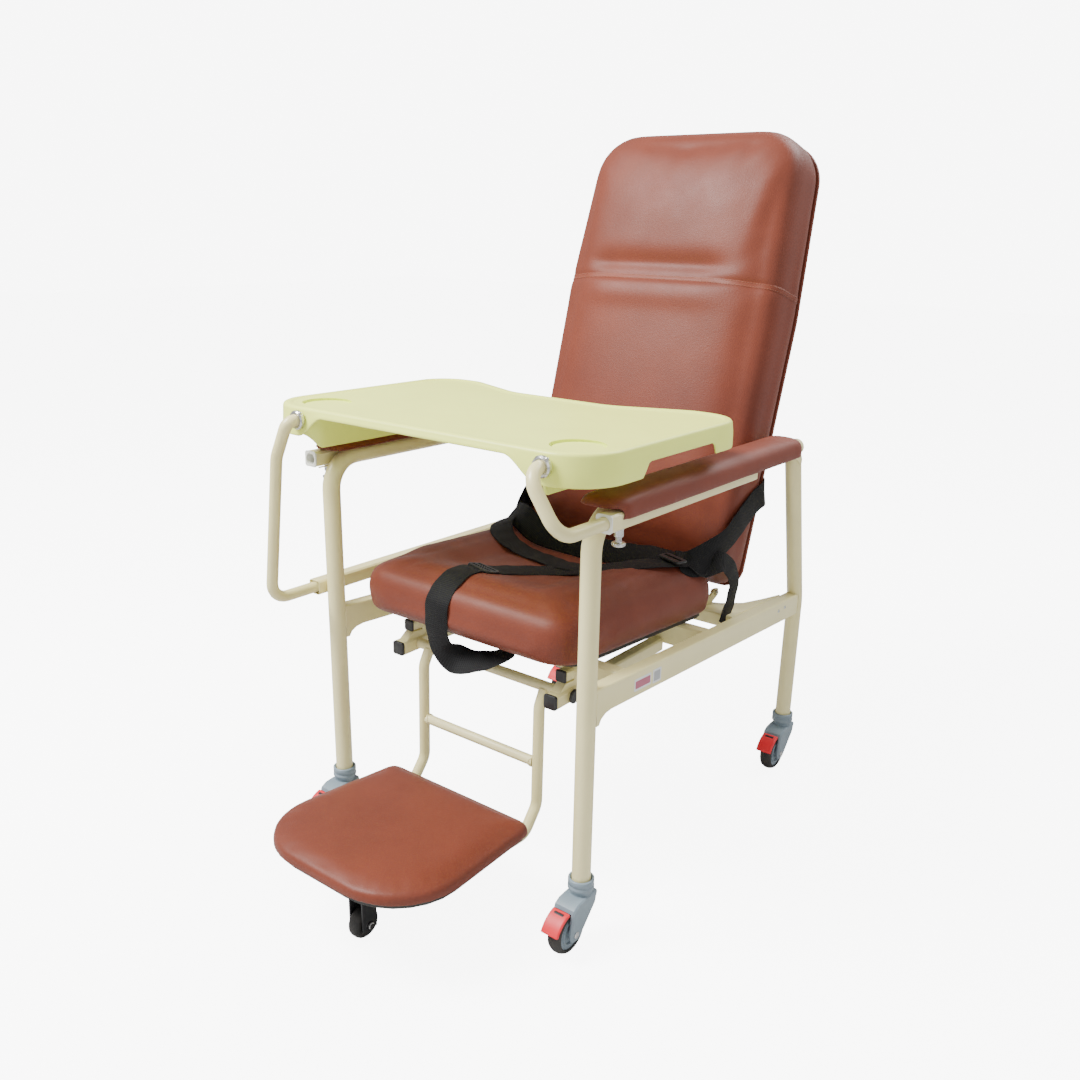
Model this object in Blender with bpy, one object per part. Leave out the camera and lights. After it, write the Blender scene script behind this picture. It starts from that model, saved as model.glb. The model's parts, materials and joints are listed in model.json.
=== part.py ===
"""A wheeled patient recliner chair with a slide-in tray, a drop-down footrest and a lap harness.

The chair faces -Y and stands on z = 0. Every piece is modelled in the chair's own frame, whose Y is measured
backwards from the front legs. One parent empty then carries it to the middle of the chair's footprint.
"""

import math

import bmesh
import bpy
from mathutils import Matrix, Quaternion, Vector

# ---- driving dimensions, in metres ----
FRONT_LEG_Y = -0.2615  # where the front legs stand, measured from the middle of the chair
LEG_X = 0.275  # half the distance between the side frames
REAR_LEG_Y = 0.738
REAR_KNEE_Y = 0.744  # where the rear leg starts to lean forward
REAR_KNEE_Z = 0.370
REAR_LEG_TOP_Y = 0.674
LEG_FOOT_Z = 0.108  # the lower end of each leg tube
TUBE_R = 0.0155
ARM_Z = 0.7075  # centre of the arm rail above the front leg
ARM_SLOPE = -0.014
ARM_REAR_Y = 0.684
ARM_BEND_R = 0.055

RAIL_W = 0.025
RAIL_H = 0.043
RAIL_TOP_Z = 0.4375  # top of the seat rails at the front legs
RAIL_SLOPE = -0.0711
FRONT_CROSS_Y = 0.112
FRONT_CROSS_H = 0.025
MIDDLE_CROSS_Y = 0.388
STUB_FRONT_Y = 0.078
GAP = 0.0004  # between two pieces that touch

CARRIER_X = 0.171
CARRIER_SIZE = 0.025
CARRIER_FRONT_Y = 0.052
CARRIER_Z = 0.367
FOOT_AXIS_Y = 0.090
FOOT_AXIS_Z = 0.3675
CROSSBAR_R = 0.0092
UPRIGHT_X = 0.131
UPRIGHT_R = 0.0098
RUNG_Z = 0.234

FOOTPLATE_Z = 0.135  # underside of the padded footplate
FOOTPLATE_BOARD = 0.008
FOOTPLATE_REAR_Y = 0.022
FOOTPLATE_FRONT_Y = -0.306
FOOTPLATE_PITCH = 0.055  # rise of the footplate towards its front edge
FOOT_WHEEL_R = 0.026
FOOT_WHEEL_Y = -0.213

CASTER_R = 0.0375
CASTER_W = 0.025
CASTER_TRAIL = -0.038  # the wheel's contact, ahead of the swivel axis
CASTER_FORK_W = 0.040
COLLAR_R = 0.0195

SOCKET_X = 0.306
SOCKET_SIZE = 0.026
SOCKET_WALL = 0.0016
SOCKET_FRONT_Y = -0.014
SOCKET_REAR_Y = 0.430
LOWER_SOCKET_X = -0.3055
LOWER_SOCKET_Z = 0.4725
LOWER_SOCKET_FRONT_Y = -0.024
LOWER_SOCKET_REAR_Y = 0.600
TRAY_ARM_R = 0.010

TRAY_Z = 0.812  # top of the tray's rim above the front legs
TRAY_SLOPE = -0.014
TRAY_HALF_W = 0.326
TRAY_FRONT_Y = -0.085
TRAY_REAR_Y = 0.344
TRAY_CLAMP_X = {"left": 0.257, "right": -0.238}
CLAMP_Z = 0.793
CUP_X = 0.258
CUP_Y = -0.015
CUP_R = 0.040

SEAT_HALF_W = 0.240
SEAT_TAPER = 0.008  # how much narrower each side is at the front
SEAT_FRONT_Y = 0.002
SEAT_REAR_Y = 0.482
SEAT_THICK = 0.084
BOARD_THICK = 0.009

ARM_PAD_INNER = 0.246
ARM_PAD_OUTER = 0.3255
ARM_PAD_FRONT_Y = -0.008
ARM_PAD_REAR_Y = 0.626
ARM_PAD_LIP = 0.018  # how far the outer lip hangs below the top of the rail

BACK_LEAN = math.radians(17)
HINGE_Y = 0.555
HINGE_Z = 0.418
BACK_HALF_W = 0.240
HINGE_BRACKET_X = 0.190
BACK_LENGTH = 0.866
BACK_BOARD = 0.012
BACK_THICK = 0.112
HEADREST_PROUD = 0.016
BACK_LOW = 0.012  # where the backrest starts above its hinge
BACK_REAR = 0.0228  # its rear face behind the hinge

LEVER_LENGTH = 0.085  # from the recline hinge to the gas spring's pin
LEVER_ANGLE = math.radians(17.5)  # of the lever behind vertical, half of the recline range
SPRING_PIVOT_Y = 0.330
SPRING_PIVOT_Z = 0.343
SPRING_R = 0.011
SPRING_ROD_R = 0.004
STRAP_THICK = 0.002
CROTCH_X = -0.032  # the crotch strap lies off the middle
STRAP_W = 0.050

CREAM = (0.66, 0.62, 0.50)
VINYL = (0.36, 0.13, 0.075)
TRAY_GREEN = (0.80, 0.81, 0.50)
CASTER_GREY = (0.30, 0.37, 0.42)
PEDAL_RED = (0.75, 0.05, 0.06)
BLACK = (0.012, 0.012, 0.013)
RUBBER = (0.03, 0.028, 0.027)
WHITE = (0.80, 0.80, 0.76)
STEEL = (0.55, 0.55, 0.56)
PLYWOOD = (0.03, 0.028, 0.026)

SIDES = (("left", 1), ("right", -1))
LEGS = (
    ("front_left", 1, 0.0),
    ("front_right", -1, 0.0),
    ("rear_left", 1, REAR_LEG_Y),
    ("rear_right", -1, REAR_LEG_Y),
)


def clear_scene():
    for obj in list(bpy.data.objects):
        bpy.data.objects.remove(obj, do_unlink=True)


def make_material(name, color, roughness, metallic=0.0):
    material = bpy.data.materials.new(name)
    material.use_nodes = True
    shader = material.node_tree.nodes["Principled BSDF"]
    shader.inputs["Base Color"].default_value = (*color, 1)
    shader.inputs["Roughness"].default_value = roughness
    shader.inputs["Metallic"].default_value = metallic
    material.diffuse_color = (*color, 1)
    return material


clear_scene()
CHAIR = bpy.data.objects.new("chair", None)
CHAIR.location = (0, FRONT_LEG_Y, 0)
bpy.context.scene.collection.objects.link(CHAIR)

PAINT = make_material("cream_powder_coat", CREAM, 0.35)
VINYL_SKIN = make_material("brown_vinyl", VINYL, 0.45)
TRAY_PLASTIC = make_material("tray_plastic", TRAY_GREEN, 0.4)
GREY_PLASTIC = make_material("caster_plastic", CASTER_GREY, 0.45)
RED_PLASTIC = make_material("pedal_plastic", PEDAL_RED, 0.35)
BLACK_PLASTIC = make_material("black_plastic", BLACK, 0.5)
TYRE = make_material("tyre_rubber", RUBBER, 0.7)
WHITE_PLASTIC = make_material("white_plastic", WHITE, 0.4)
CHROME = make_material("plated_steel", STEEL, 0.25, 1.0)
BOARD = make_material("black_board", PLYWOOD, 0.6)
WEBBING = make_material("black_webbing", BLACK, 0.85)


# ---- shape helpers ----
def finish_object(name, bm, material, origin=(0, 0, 0), smooth_angle=35):
    """Turns a mesh in chair coordinates into an object whose origin is at the given point."""
    bmesh.ops.remove_doubles(bm, verts=bm.verts, dist=1e-6)
    bmesh.ops.recalc_face_normals(bm, faces=bm.faces)
    bmesh.ops.translate(bm, verts=bm.verts, vec=-Vector(origin))
    mesh = bpy.data.meshes.new(name)
    bm.to_mesh(mesh)
    bm.free()
    mesh.shade_smooth()
    mesh.set_sharp_from_angle(angle=math.radians(smooth_angle))
    obj = bpy.data.objects.new(name, mesh)
    obj.location = origin
    obj.parent = CHAIR
    mesh.materials.append(material)
    bpy.context.scene.collection.objects.link(obj)
    return obj


def loft(bm, loops):
    """Closed skin through equal loops of points, with a flat cap on the first and the last."""
    rings = [[bm.verts.new(p) for p in loop] for loop in loops]
    count = len(rings[0])
    for a, b in zip(rings, rings[1:]):
        for i in range(count):
            j = (i + 1) % count
            bm.faces.new((a[i], a[j], b[j], b[i]))
    bm.faces.new(rings[0][::-1])
    bm.faces.new(rings[-1])


def fillet_path(corners, radii, steps=6):
    """A polyline whose inner corners are replaced by arcs of the given radii."""
    points = [Vector(corners[0])]
    for before, corner, after, radius in zip(corners, corners[1:], corners[2:], radii):
        corner = Vector(corner)
        a = (Vector(before) - corner).normalized()
        b = (Vector(after) - corner).normalized()
        half = a.angle(b) / 2
        reach = radius / math.tan(half)
        centre = corner + (a + b).normalized() * (radius / math.sin(half))
        start = corner + a * reach - centre
        turn = start.rotation_difference(corner + b * reach - centre)
        for i in range(steps + 1):
            points.append(centre + Quaternion().slerp(turn, i / steps) @ start)
    points.append(Vector(corners[-1]))
    return points


def tangents(points):
    result = []
    for i, point in enumerate(points):
        ahead = points[min(i + 1, len(points) - 1)]
        behind = points[max(i - 1, 0)]
        before = (point - behind).normalized() if i else Vector()
        after = (ahead - point).normalized() if i < len(points) - 1 else Vector()
        result.append((before + after).normalized())
    return result


def sweep_loops(points, section, across):
    """Loops of a section swept along a path; across is the section's first axis at the path's start."""
    loops = []
    across = Vector(across)
    for point, tangent in zip(points, tangents(points)):
        across = (across - tangent * across.dot(tangent)).normalized()
        up = tangent.cross(across)
        loops.append([point + across * u + up * v for u, v in section])
    return loops


def circle_section(radius, sides):
    return [
        (radius * math.cos(2 * math.pi * i / sides), radius * math.sin(2 * math.pi * i / sides))
        for i in range(sides)
    ]


def rect_section(width, height, chamfer=0.003):
    w, h, c = width / 2, height / 2, chamfer
    return [
        (w, -h + c), (w, h - c), (w - c, h), (-w + c, h),
        (-w, h - c), (-w, -h + c), (-w + c, -h), (w - c, -h),
    ]


def tube(name, points, radius, material=PAINT, origin=(0, 0, 0), sides=16, across=(1, 0, 0)):
    bm = bmesh.new()
    loft(bm, sweep_loops(points, circle_section(radius, sides), across))
    return finish_object(name, bm, material, origin)


def bar(name, points, width, height, material=PAINT, origin=(0, 0, 0), across=(1, 0, 0)):
    bm = bmesh.new()
    loft(bm, sweep_loops(points, rect_section(width, height), across))
    return finish_object(name, bm, material, origin)


def turned(bm, profile, centre, axis="Z", sides=24):
    """A solid of revolution: profile lists (radius, height) along the axis, from one end to the other."""
    turn = {"X": Matrix.Rotation(math.pi / 2, 3, "Y"), "Z": Matrix.Identity(3)}[axis]
    loops = []
    for radius, height in profile:
        loops.append(
            [
                Vector(centre) + turn @ Vector((u, v, height))
                for u, v in circle_section(radius, sides)
            ]
        )
    loft(bm, loops)


def turned_object(name, profile, centre, axis, material, origin=(0, 0, 0), sides=24):
    bm = bmesh.new()
    turned(bm, profile, centre, axis, sides)
    return finish_object(name, bm, material, origin)


def rounded_outline(corners, radii, steps=5):
    """A closed outline with arcs at its corners, as (u, v) pairs."""
    count = len(corners)
    points = []
    for i, corner in enumerate(corners):
        before = corners[i - 1]
        after = corners[(i + 1) % count]
        path = fillet_path([(*before, 0), (*corner, 0), (*after, 0)], [radii[i]], steps)
        points += [(p.x, p.y) for p in path[1:-1]]
    return points


def inset(outline, distance):
    """The outline moved inwards along its normals; the outline runs anticlockwise."""
    moved = []
    count = len(outline)
    for i, (u, v) in enumerate(outline):
        u0, v0 = outline[i - 1]
        u1, v1 = outline[(i + 1) % count]
        normal = Vector((v0 - v1, u1 - u0)).normalized()
        moved.append((u + normal.x * distance, v + normal.y * distance))
    return moved


def pad(name, outline, levels, place, material, origin=(0, 0, 0)):
    """A closed pad: levels lists (inset, height), and place puts (u, v, height) into the chair."""
    bm = bmesh.new()
    loft(bm, [[place(u, v, height) for u, v in inset(outline, edge)] for edge, height in levels])
    return finish_object(name, bm, material, origin, smooth_angle=50)


def cutter(name, bm):
    obj = finish_object(name, bm, BLACK_PLASTIC)
    obj.hide_render = True
    obj.display_type = "WIRE"
    return obj


def cylinder_cutter(name, start, end, radius, sides=24):
    bm = bmesh.new()
    path = [Vector(start), Vector(end)]
    upright = abs((path[1] - path[0]).normalized().z) > 0.7
    loft(bm, sweep_loops(path, circle_section(radius, sides), (1, 0, 0) if upright else (0, 0, 1)))
    return cutter(name, bm)


def box_cutter(name, low, high):
    bm = bmesh.new()
    loft(bm, box_loops(low, high))
    return cutter(name, bm)


def box_loops(low, high):
    return [
        [(low[0], low[1], z), (high[0], low[1], z), (high[0], high[1], z), (low[0], high[1], z)]
        for z in (low[2], high[2])
    ]


def boolean(obj, other, operation="DIFFERENCE"):
    modifier = obj.modifiers.new(other.name, "BOOLEAN")
    modifier.operation = operation
    modifier.object = other
    modifier.solver = "EXACT"


def rail_top(y):
    return RAIL_TOP_Z + RAIL_SLOPE * y


def cross_top(y):
    """The flat top of a cross member at y, just under the sloping plane of the rails."""
    return rail_top(y + RAIL_W / 2) - GAP


def arm_z(y):
    return ARM_Z + ARM_SLOPE * y


def socket_z(y):
    """Centre height of the upper sockets, which run parallel to the arm rails."""
    return arm_z(y) - 0.0022


def lower_socket_z(y):
    return LOWER_SOCKET_Z + ARM_SLOPE * y


# ---- the welded steel frame ----
def side_tubes():
    for side, sign in SIDES:
        x = sign * LEG_X
        corners = [(x, 0, LEG_FOOT_Z), (x, 0, ARM_Z), (x, ARM_REAR_Y, arm_z(ARM_REAR_Y))]
        tube(f"side_tube_{side}", fillet_path(corners, [ARM_BEND_R], 8), TUBE_R)
        top_z = arm_z(REAR_LEG_TOP_Y) - TUBE_R - GAP
        corners = [
            (x, REAR_LEG_Y, LEG_FOOT_Z),
            (x, REAR_KNEE_Y, REAR_KNEE_Z),
            (x, REAR_LEG_TOP_Y, top_z - 0.010),
        ]
        points = fillet_path(corners, [0.12]) + [Vector((x, REAR_LEG_TOP_Y, top_z))]
        tube(f"rear_leg_{side}", points, TUBE_R)


def seat_rails():
    """Rectangular rails with a curved web under the front joint, cope-cut round both legs."""
    web_low = -RAIL_H - 0.018
    web = [(0.052, -RAIL_H), (0.035, -RAIL_H - 0.003), (0.024, -RAIL_H - 0.009), (0.018, web_low)]
    rear = REAR_LEG_Y + 0.004
    outline = [(0.0, 0.0), (rear, 0.0), (rear, -RAIL_H)] + web + [(0.0, web_low)]
    lean = (REAR_LEG_TOP_Y - REAR_KNEE_Y) / (arm_z(REAR_LEG_TOP_Y) - REAR_KNEE_Z)
    low, high = 0.25, 0.50
    copes = {
        "front": ((0, low), (0, high), TUBE_R + GAP),
        "knee": ((REAR_KNEE_Y, low), (REAR_KNEE_Y, high), TUBE_R + 0.0008),
        "rear": (
            (REAR_KNEE_Y + lean * (low - REAR_KNEE_Z), low),
            (REAR_KNEE_Y + lean * (high - REAR_KNEE_Z), high),
            TUBE_R + 0.0012,
        ),
    }
    for side, sign in SIDES:
        x = sign * LEG_X
        bm = bmesh.new()
        loops = []
        for offset, trim in ((-1, 0.002), (-0.86, 0), (0.86, 0), (1, 0.002)):
            face_x = x + offset * RAIL_W / 2
            loops.append([(face_x, y, rail_top(y) + z) for y, z in inset(outline[::-1], trim)])
        loft(bm, loops)
        rail = finish_object(f"seat_rail_{side}", bm, PAINT)
        for name, (start, end, radius) in copes.items():
            hole = cylinder_cutter(f"cope_{name}_{side}", (x, *start), (x, *end), radius, 16)
            boolean(rail, hole)


def cross_members():
    inner = LEG_X - RAIL_W / 2 - GAP
    for name, y, height in (
        ("front", FRONT_CROSS_Y, FRONT_CROSS_H),
        ("middle", MIDDLE_CROSS_Y, RAIL_H),
    ):
        drop = cross_top(y) - height / 2
        path = [Vector((-inner, y, drop)), Vector((inner, y, drop))]
        member = bar(f"{name}_cross_member", path, RAIL_W, height, across=(0, 1, 0))
        if name == "middle":
            add_spring_lug(member, y)
        else:
            add_front_stubs(member, y)
    # The rear member flares backwards along the rails at its ends.
    flare = [(inner, 0.700), (inner - 0.016, 0.640), (inner - 0.030, 0.590), (inner - 0.060, 0.556)]
    outline = (
        [(-inner, 0.490), (inner, 0.490)]
        + flare
        + [(0.150, 0.530), (-0.150, 0.530)]
        + [(-u, v) for u, v in flare[::-1]]
    )
    member = pad(
        "rear_cross_member",
        outline,
        [(0.002, -0.026), (0, -0.024), (0, -0.002), (0.002, 0)],
        lambda u, v, h: Vector((u, v, rail_top(v) + h)),
        PAINT,
    )
    add_hinge_brackets(member)


def add_hinge_brackets(member):
    """Two bent plates that rise from the rear member to the backrest's pivot."""
    for side, sign in SIDES:
        x = sign * HINGE_BRACKET_X
        outline = [
            (0.500, rail_top(0.500) - 0.006),
            (0.526, rail_top(0.526) - 0.006),
            (HINGE_Y + 0.009, HINGE_Z - 0.008),
            (HINGE_Y + 0.009, HINGE_Z + 0.005),
            (HINGE_Y - 0.004, HINGE_Z + 0.008),
            (HINGE_Y - 0.012, HINGE_Z + 0.004),
        ]
        bm = bmesh.new()
        loft(bm, [[(x + dx, v, w) for v, w in outline] for dx in (-0.0025, 0.0025)])
        boolean(member, cutter(f"hinge_bracket_{side}", bm), "UNION")


def add_front_stubs(member, y):
    """Two short square tubes that reach forward over the footrest's carriers."""
    front, rear = STUB_FRONT_Y, y - RAIL_W / 2 + 0.001
    for side, sign in SIDES:
        x = sign * CARRIER_X
        path = [Vector((x, front, rail_top(front) - 0.029)), Vector((x, rear, rail_top(rear) - 0.029))]
        bm = bmesh.new()
        loft(bm, sweep_loops(path, rect_section(0.020, 0.020), (1, 0, 0)))
        boolean(member, cutter(f"front_stub_{side}", bm), "UNION")


def add_spring_lug(member, y):
    """The clevis under the middle cross member that holds the gas spring's front pin."""
    root_z = cross_top(y) - RAIL_H + 0.004
    outline = [
        (y + 0.008, root_z),
        (y - 0.010, root_z),
        (SPRING_PIVOT_Y - 0.010, SPRING_PIVOT_Z + 0.004),
        (SPRING_PIVOT_Y - 0.010, SPRING_PIVOT_Z - 0.008),
        (SPRING_PIVOT_Y + 0.010, SPRING_PIVOT_Z - 0.010),
    ]
    for index, x in enumerate((-SPRING_R - 0.004, SPRING_R + 0.001)):
        bm = bmesh.new()
        loft(bm, [[(x + dx, v, w) for v, w in outline] for dx in (0, 0.003)])
        boolean(member, cutter(f"spring_lug_{index}", bm), "UNION")


def footrest_carriers():
    """Square tubes under the seat: they hold the footrest's crossbar in a bore and end in a plastic cap."""
    axis_start = (-0.25, FOOT_AXIS_Y, FOOT_AXIS_Z)
    axis_end = (0.25, FOOT_AXIS_Y, FOOT_AXIS_Z)
    rear_y = MIDDLE_CROSS_Y - RAIL_W / 2 - GAP
    post_top = cross_top(FRONT_CROSS_Y) - FRONT_CROSS_H - GAP
    post = [(0.056, 0.375), (0.150, 0.375), (0.140, post_top), (0.1015, post_top)]
    post += [(0.1015, 0.3895), (STUB_FRONT_Y, 0.3915)]
    half = CARRIER_SIZE / 2
    square = [(-half, -half), (half, -half), (half, half), (-half, half)]
    for side, sign in SIDES:
        x = sign * CARRIER_X
        points = [Vector((x, CARRIER_FRONT_Y, CARRIER_Z)), Vector((x, rear_y, CARRIER_Z - 0.004))]
        carrier = bar(f"footrest_carrier_{side}", points, CARRIER_SIZE, CARRIER_SIZE)
        bm = bmesh.new()
        loft(bm, [[(x + dx, v, w) for v, w in post] for dx in (-0.009, 0.009)])
        boolean(carrier, cutter(f"carrier_post_{side}", bm), "UNION")
        bore = cylinder_cutter(f"carrier_bore_{side}", axis_start, axis_end, CROSSBAR_R + GAP)
        boolean(carrier, bore)
        pad(
            f"carrier_cap_{side}",
            rounded_outline(square, [0.004] * 4, 3),
            [(0.003, -0.0064), (0, -0.0049), (0, -GAP)],
            lambda u, v, h, x=x: Vector((x + u, CARRIER_FRONT_Y + h, CARRIER_Z + v)),
            BLACK_PLASTIC,
        )


def arm_sockets():
    for side, sign in SIDES:
        x = sign * SOCKET_X
        front = Vector((x, SOCKET_FRONT_Y, socket_z(SOCKET_FRONT_Y)))
        rear = Vector((x, SOCKET_REAR_Y, socket_z(SOCKET_REAR_Y)))
        hollow_bar(f"arm_socket_{side}", front, rear, SOCKET_SIZE)
        socket_bush(f"socket_bush_{side}", front, rear)
    front = Vector((LOWER_SOCKET_X, LOWER_SOCKET_FRONT_Y, lower_socket_z(LOWER_SOCKET_FRONT_Y)))
    rear = Vector((LOWER_SOCKET_X, LOWER_SOCKET_REAR_Y, lower_socket_z(LOWER_SOCKET_REAR_Y)))
    hollow_bar("lower_socket_right", front, rear, SOCKET_SIZE)


def hollow_bar(name, front, rear, size):
    """A square tube, open at both ends."""
    obj = bar(name, [front, rear], size, size)
    bm = bmesh.new()
    along = (rear - front).normalized() * 0.01
    inner = size - 2 * SOCKET_WALL
    loft(bm, sweep_loops([front - along, rear + along], rect_section(inner, inner, 0.001), (1, 0, 0)))
    boolean(obj, cutter(f"{name}_hollow", bm))


def socket_bush(name, front, rear):
    """A plastic plug with a flange: square outside, with a round hole for the tray's arm."""
    along = (rear - front).normalized()
    plug = SOCKET_SIZE - 2 * SOCKET_WALL - 0.0008
    bm = bmesh.new()
    flange = rect_section(SOCKET_SIZE + 0.001, SOCKET_SIZE + 0.001)
    body = rect_section(plug, plug, 0.0012)
    face = front - along * 0.0034
    lip = front - along * GAP
    loops = sweep_loops([face, lip], flange, (1, 0, 0))
    loops += sweep_loops([lip, front + along * 0.018], body, (1, 0, 0))
    loft(bm, loops)
    bush = finish_object(name, bm, WHITE_PLASTIC)
    hole = cylinder_cutter(f"{name}_hole", front - along * 0.02, front + along * 0.04, TRAY_ARM_R + 0.0004)
    boolean(bush, hole)


def lock_plungers():
    """Spring pins under the sockets: pulled down, they free the tray's arm."""
    for side, sign in SIDES:
        y = 0.022
        top = socket_z(y) - SOCKET_SIZE / 2 - GAP
        profile = [(0.0095, -0.027), (0.0105, -0.025), (0.0105, -0.022), (0.0045, -0.0215), (0.0045, 0)]
        origin = (sign * SOCKET_X, y, top)
        turned_object(f"lock_plunger_{side}", profile, origin, "Z", CHROME, origin, 16)


# ---- casters ----
def casters():
    for corner, sign, leg_y in LEGS:
        x = sign * LEG_X
        axle = (x, leg_y + CASTER_TRAIL, CASTER_R)
        caster_fork(f"caster_fork_{corner}", x, leg_y, axle)
        rim = CASTER_W / 2
        half = [(0.011, rim + 0.0010), (0.013, rim - 0.0015), (0.024, rim - 0.0015), (0.027, rim)]
        half += [(0.0315, rim - 0.0005), (0.0350, rim - 0.0035), (CASTER_R - 0.0006, 0.0045)]
        profile = [(radius, -width) for radius, width in half] + half[::-1]
        turned_object(f"caster_wheel_{corner}", profile, axle, "X", TYRE, axle, 32)
        brake_pedal(f"brake_pedal_{corner}", x, axle)


def caster_fork(name, x, leg_y, axle):
    """The swivelling fork: a collar under the leg, a sloping crown and two cheeks down to the axle."""
    crown = [(0.014, 0.0690), (0.0185, 0.0895), (-0.016, 0.0895), (-0.032, 0.0880), (-0.043, 0.0820)]
    cheek = [(-0.046, 0.0750), (-0.050, 0.0450), (-0.050, 0.0330), (-0.045, 0.0250)]
    outline = crown + cheek + [(-0.033, 0.0240), (-0.024, 0.0290)]
    half = CASTER_FORK_W / 2
    bm = bmesh.new()
    loops = [
        [(x + dx, leg_y + v, z) for v, z in inset(outline, trim)]
        for dx, trim in ((-half, 0.0025), (-half + 0.0025, 0), (half - 0.0025, 0), (half, 0.0025))
    ]
    loft(bm, loops)
    fork = finish_object(name, bm, GREY_PLASTIC, (x, leg_y, 0))
    bm = bmesh.new()
    top = LEG_FOOT_Z - GAP
    profile = [(COLLAR_R - 0.001, 0.086), (COLLAR_R - 0.001, 0.094), (COLLAR_R, 0.096)]
    profile += [(COLLAR_R, top - 0.002), (COLLAR_R - 0.002, top)]
    turned(bm, profile, (x, leg_y, 0))
    boolean(fork, cutter(f"{name}_collar", bm), "UNION")
    slot = CASTER_W / 2 + 0.0022
    start = (axle[0] - slot, axle[1], axle[2])
    end = (axle[0] + slot, axle[1], axle[2])
    boolean(fork, cylinder_cutter(f"{name}_slot", start, end, CASTER_R + 0.002, 32))


def brake_pedal(name, x, axle):
    """A curved pedal over the front of the tyre, hinged at the fork's crown."""
    steps = 8
    outer = []
    inner = []
    for i in range(steps + 1):
        angle = math.radians(74 - 54 * i / steps)
        gap = 0.0024 + 0.0042 * i / steps
        for points, radius in ((inner, CASTER_R + gap), (outer, CASTER_R + gap + 0.0055)):
            points.append((axle[1] - radius * math.cos(angle), axle[2] + radius * math.sin(angle)))
    outline = outer + inner[::-1]
    half = 0.0165
    bm = bmesh.new()
    loops = [
        [(x + dx, v, w) for v, w in inset(outline, trim)]
        for dx, trim in ((-half, 0.0015), (-half + 0.002, 0), (half - 0.002, 0), (half, 0.0015))
    ]
    loft(bm, loops)
    finish_object(name, bm, RED_PLASTIC, (x, outer[0][0] + 0.004, outer[0][1]))


# ---- footrest ----
def footrest():
    hinge = (0, FOOT_AXIS_Y, FOOT_AXIS_Z)
    end = CARRIER_X + CARRIER_SIZE / 2 + 0.003
    axis = [Vector((-end, FOOT_AXIS_Y, FOOT_AXIS_Z)), Vector((end, FOOT_AXIS_Y, FOOT_AXIS_Z))]
    tube("footrest_crossbar", axis, CROSSBAR_R, origin=hinge, across=(0, 1, 0))
    tube_z = FOOTPLATE_Z - FOOTPLATE_BOARD - UPRIGHT_R - 2 * GAP
    for side, sign in SIDES:
        cap = [(0.0125, 0), (0.0125, 0.003), (0.0105, 0.0045)]
        if sign < 0:
            cap = [(radius, -height) for radius, height in reversed(cap)]
        centre = (sign * (end + GAP), FOOT_AXIS_Y, FOOT_AXIS_Z)
        turned_object(f"crossbar_cap_{side}", cap, centre, "X", BLACK_PLASTIC, hinge, 16)
        x = sign * UPRIGHT_X
        corners = [
            (x, FOOT_AXIS_Y - 0.004, FOOT_AXIS_Z - 0.004),
            (x, 0.072, FOOT_AXIS_Z - 0.030),
            (x, 0.069, 0.156),
            (x, 0.036, tube_z - 0.001),
            (x, -0.190, tube_z + 0.212 * FOOTPLATE_PITCH),
        ]
        points = fillet_path(corners, [0.030, 0.032, 0.026])
        upright = tube(f"footrest_upright_{side}", points, UPRIGHT_R, origin=hinge)
        boolean(upright, cylinder_cutter(f"upright_cope_{side}", *axis, CROSSBAR_R + GAP))
    reach = UPRIGHT_X - UPRIGHT_R * 0.62
    rung_y = 0.0705
    rung = tube(
        "footrest_rung",
        [Vector((-reach, rung_y, RUNG_Z)), Vector((reach, rung_y, RUNG_Z))],
        0.0088,
        origin=hinge,
        across=(0, 1, 0),
    )
    for side, sign in SIDES:
        x = sign * UPRIGHT_X
        start, end = (x, 0.0680, 0.16), (x, 0.0720, 0.34)
        boolean(rung, cylinder_cutter(f"rung_cope_{side}", start, end, UPRIGHT_R + 0.0010))
    footplate(hinge)
    foot_wheel(hinge)


def footplate(hinge):
    corners = [
        (0.162, FOOTPLATE_REAR_Y),
        (-0.162, FOOTPLATE_REAR_Y),
        (-0.188, FOOTPLATE_FRONT_Y),
        (0.188, FOOTPLATE_FRONT_Y),
    ]
    outline = rounded_outline(corners, [0.022, 0.022, 0.120, 0.120], 7)
    board_top = FOOTPLATE_Z - GAP

    def place(u, v, h):
        return Vector((u, v, h + (FOOTPLATE_REAR_Y - v) * FOOTPLATE_PITCH))

    board_low = board_top - FOOTPLATE_BOARD
    levels = [(0.001, board_low), (0, board_low + 0.001), (0, board_top)]
    pad("footplate_board", inset(outline, 0.010), levels, place, BOARD, hinge)
    levels = [(0.004, 0), (0, 0.004), (0, 0.013), (0.003, 0.019), (0.010, 0.0225), (0.018, 0.0235)]
    levels = [(edge, FOOTPLATE_Z + h) for edge, h in levels]
    pad("footplate_pad", outline, levels, place, VINYL_SKIN, hinge)


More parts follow.
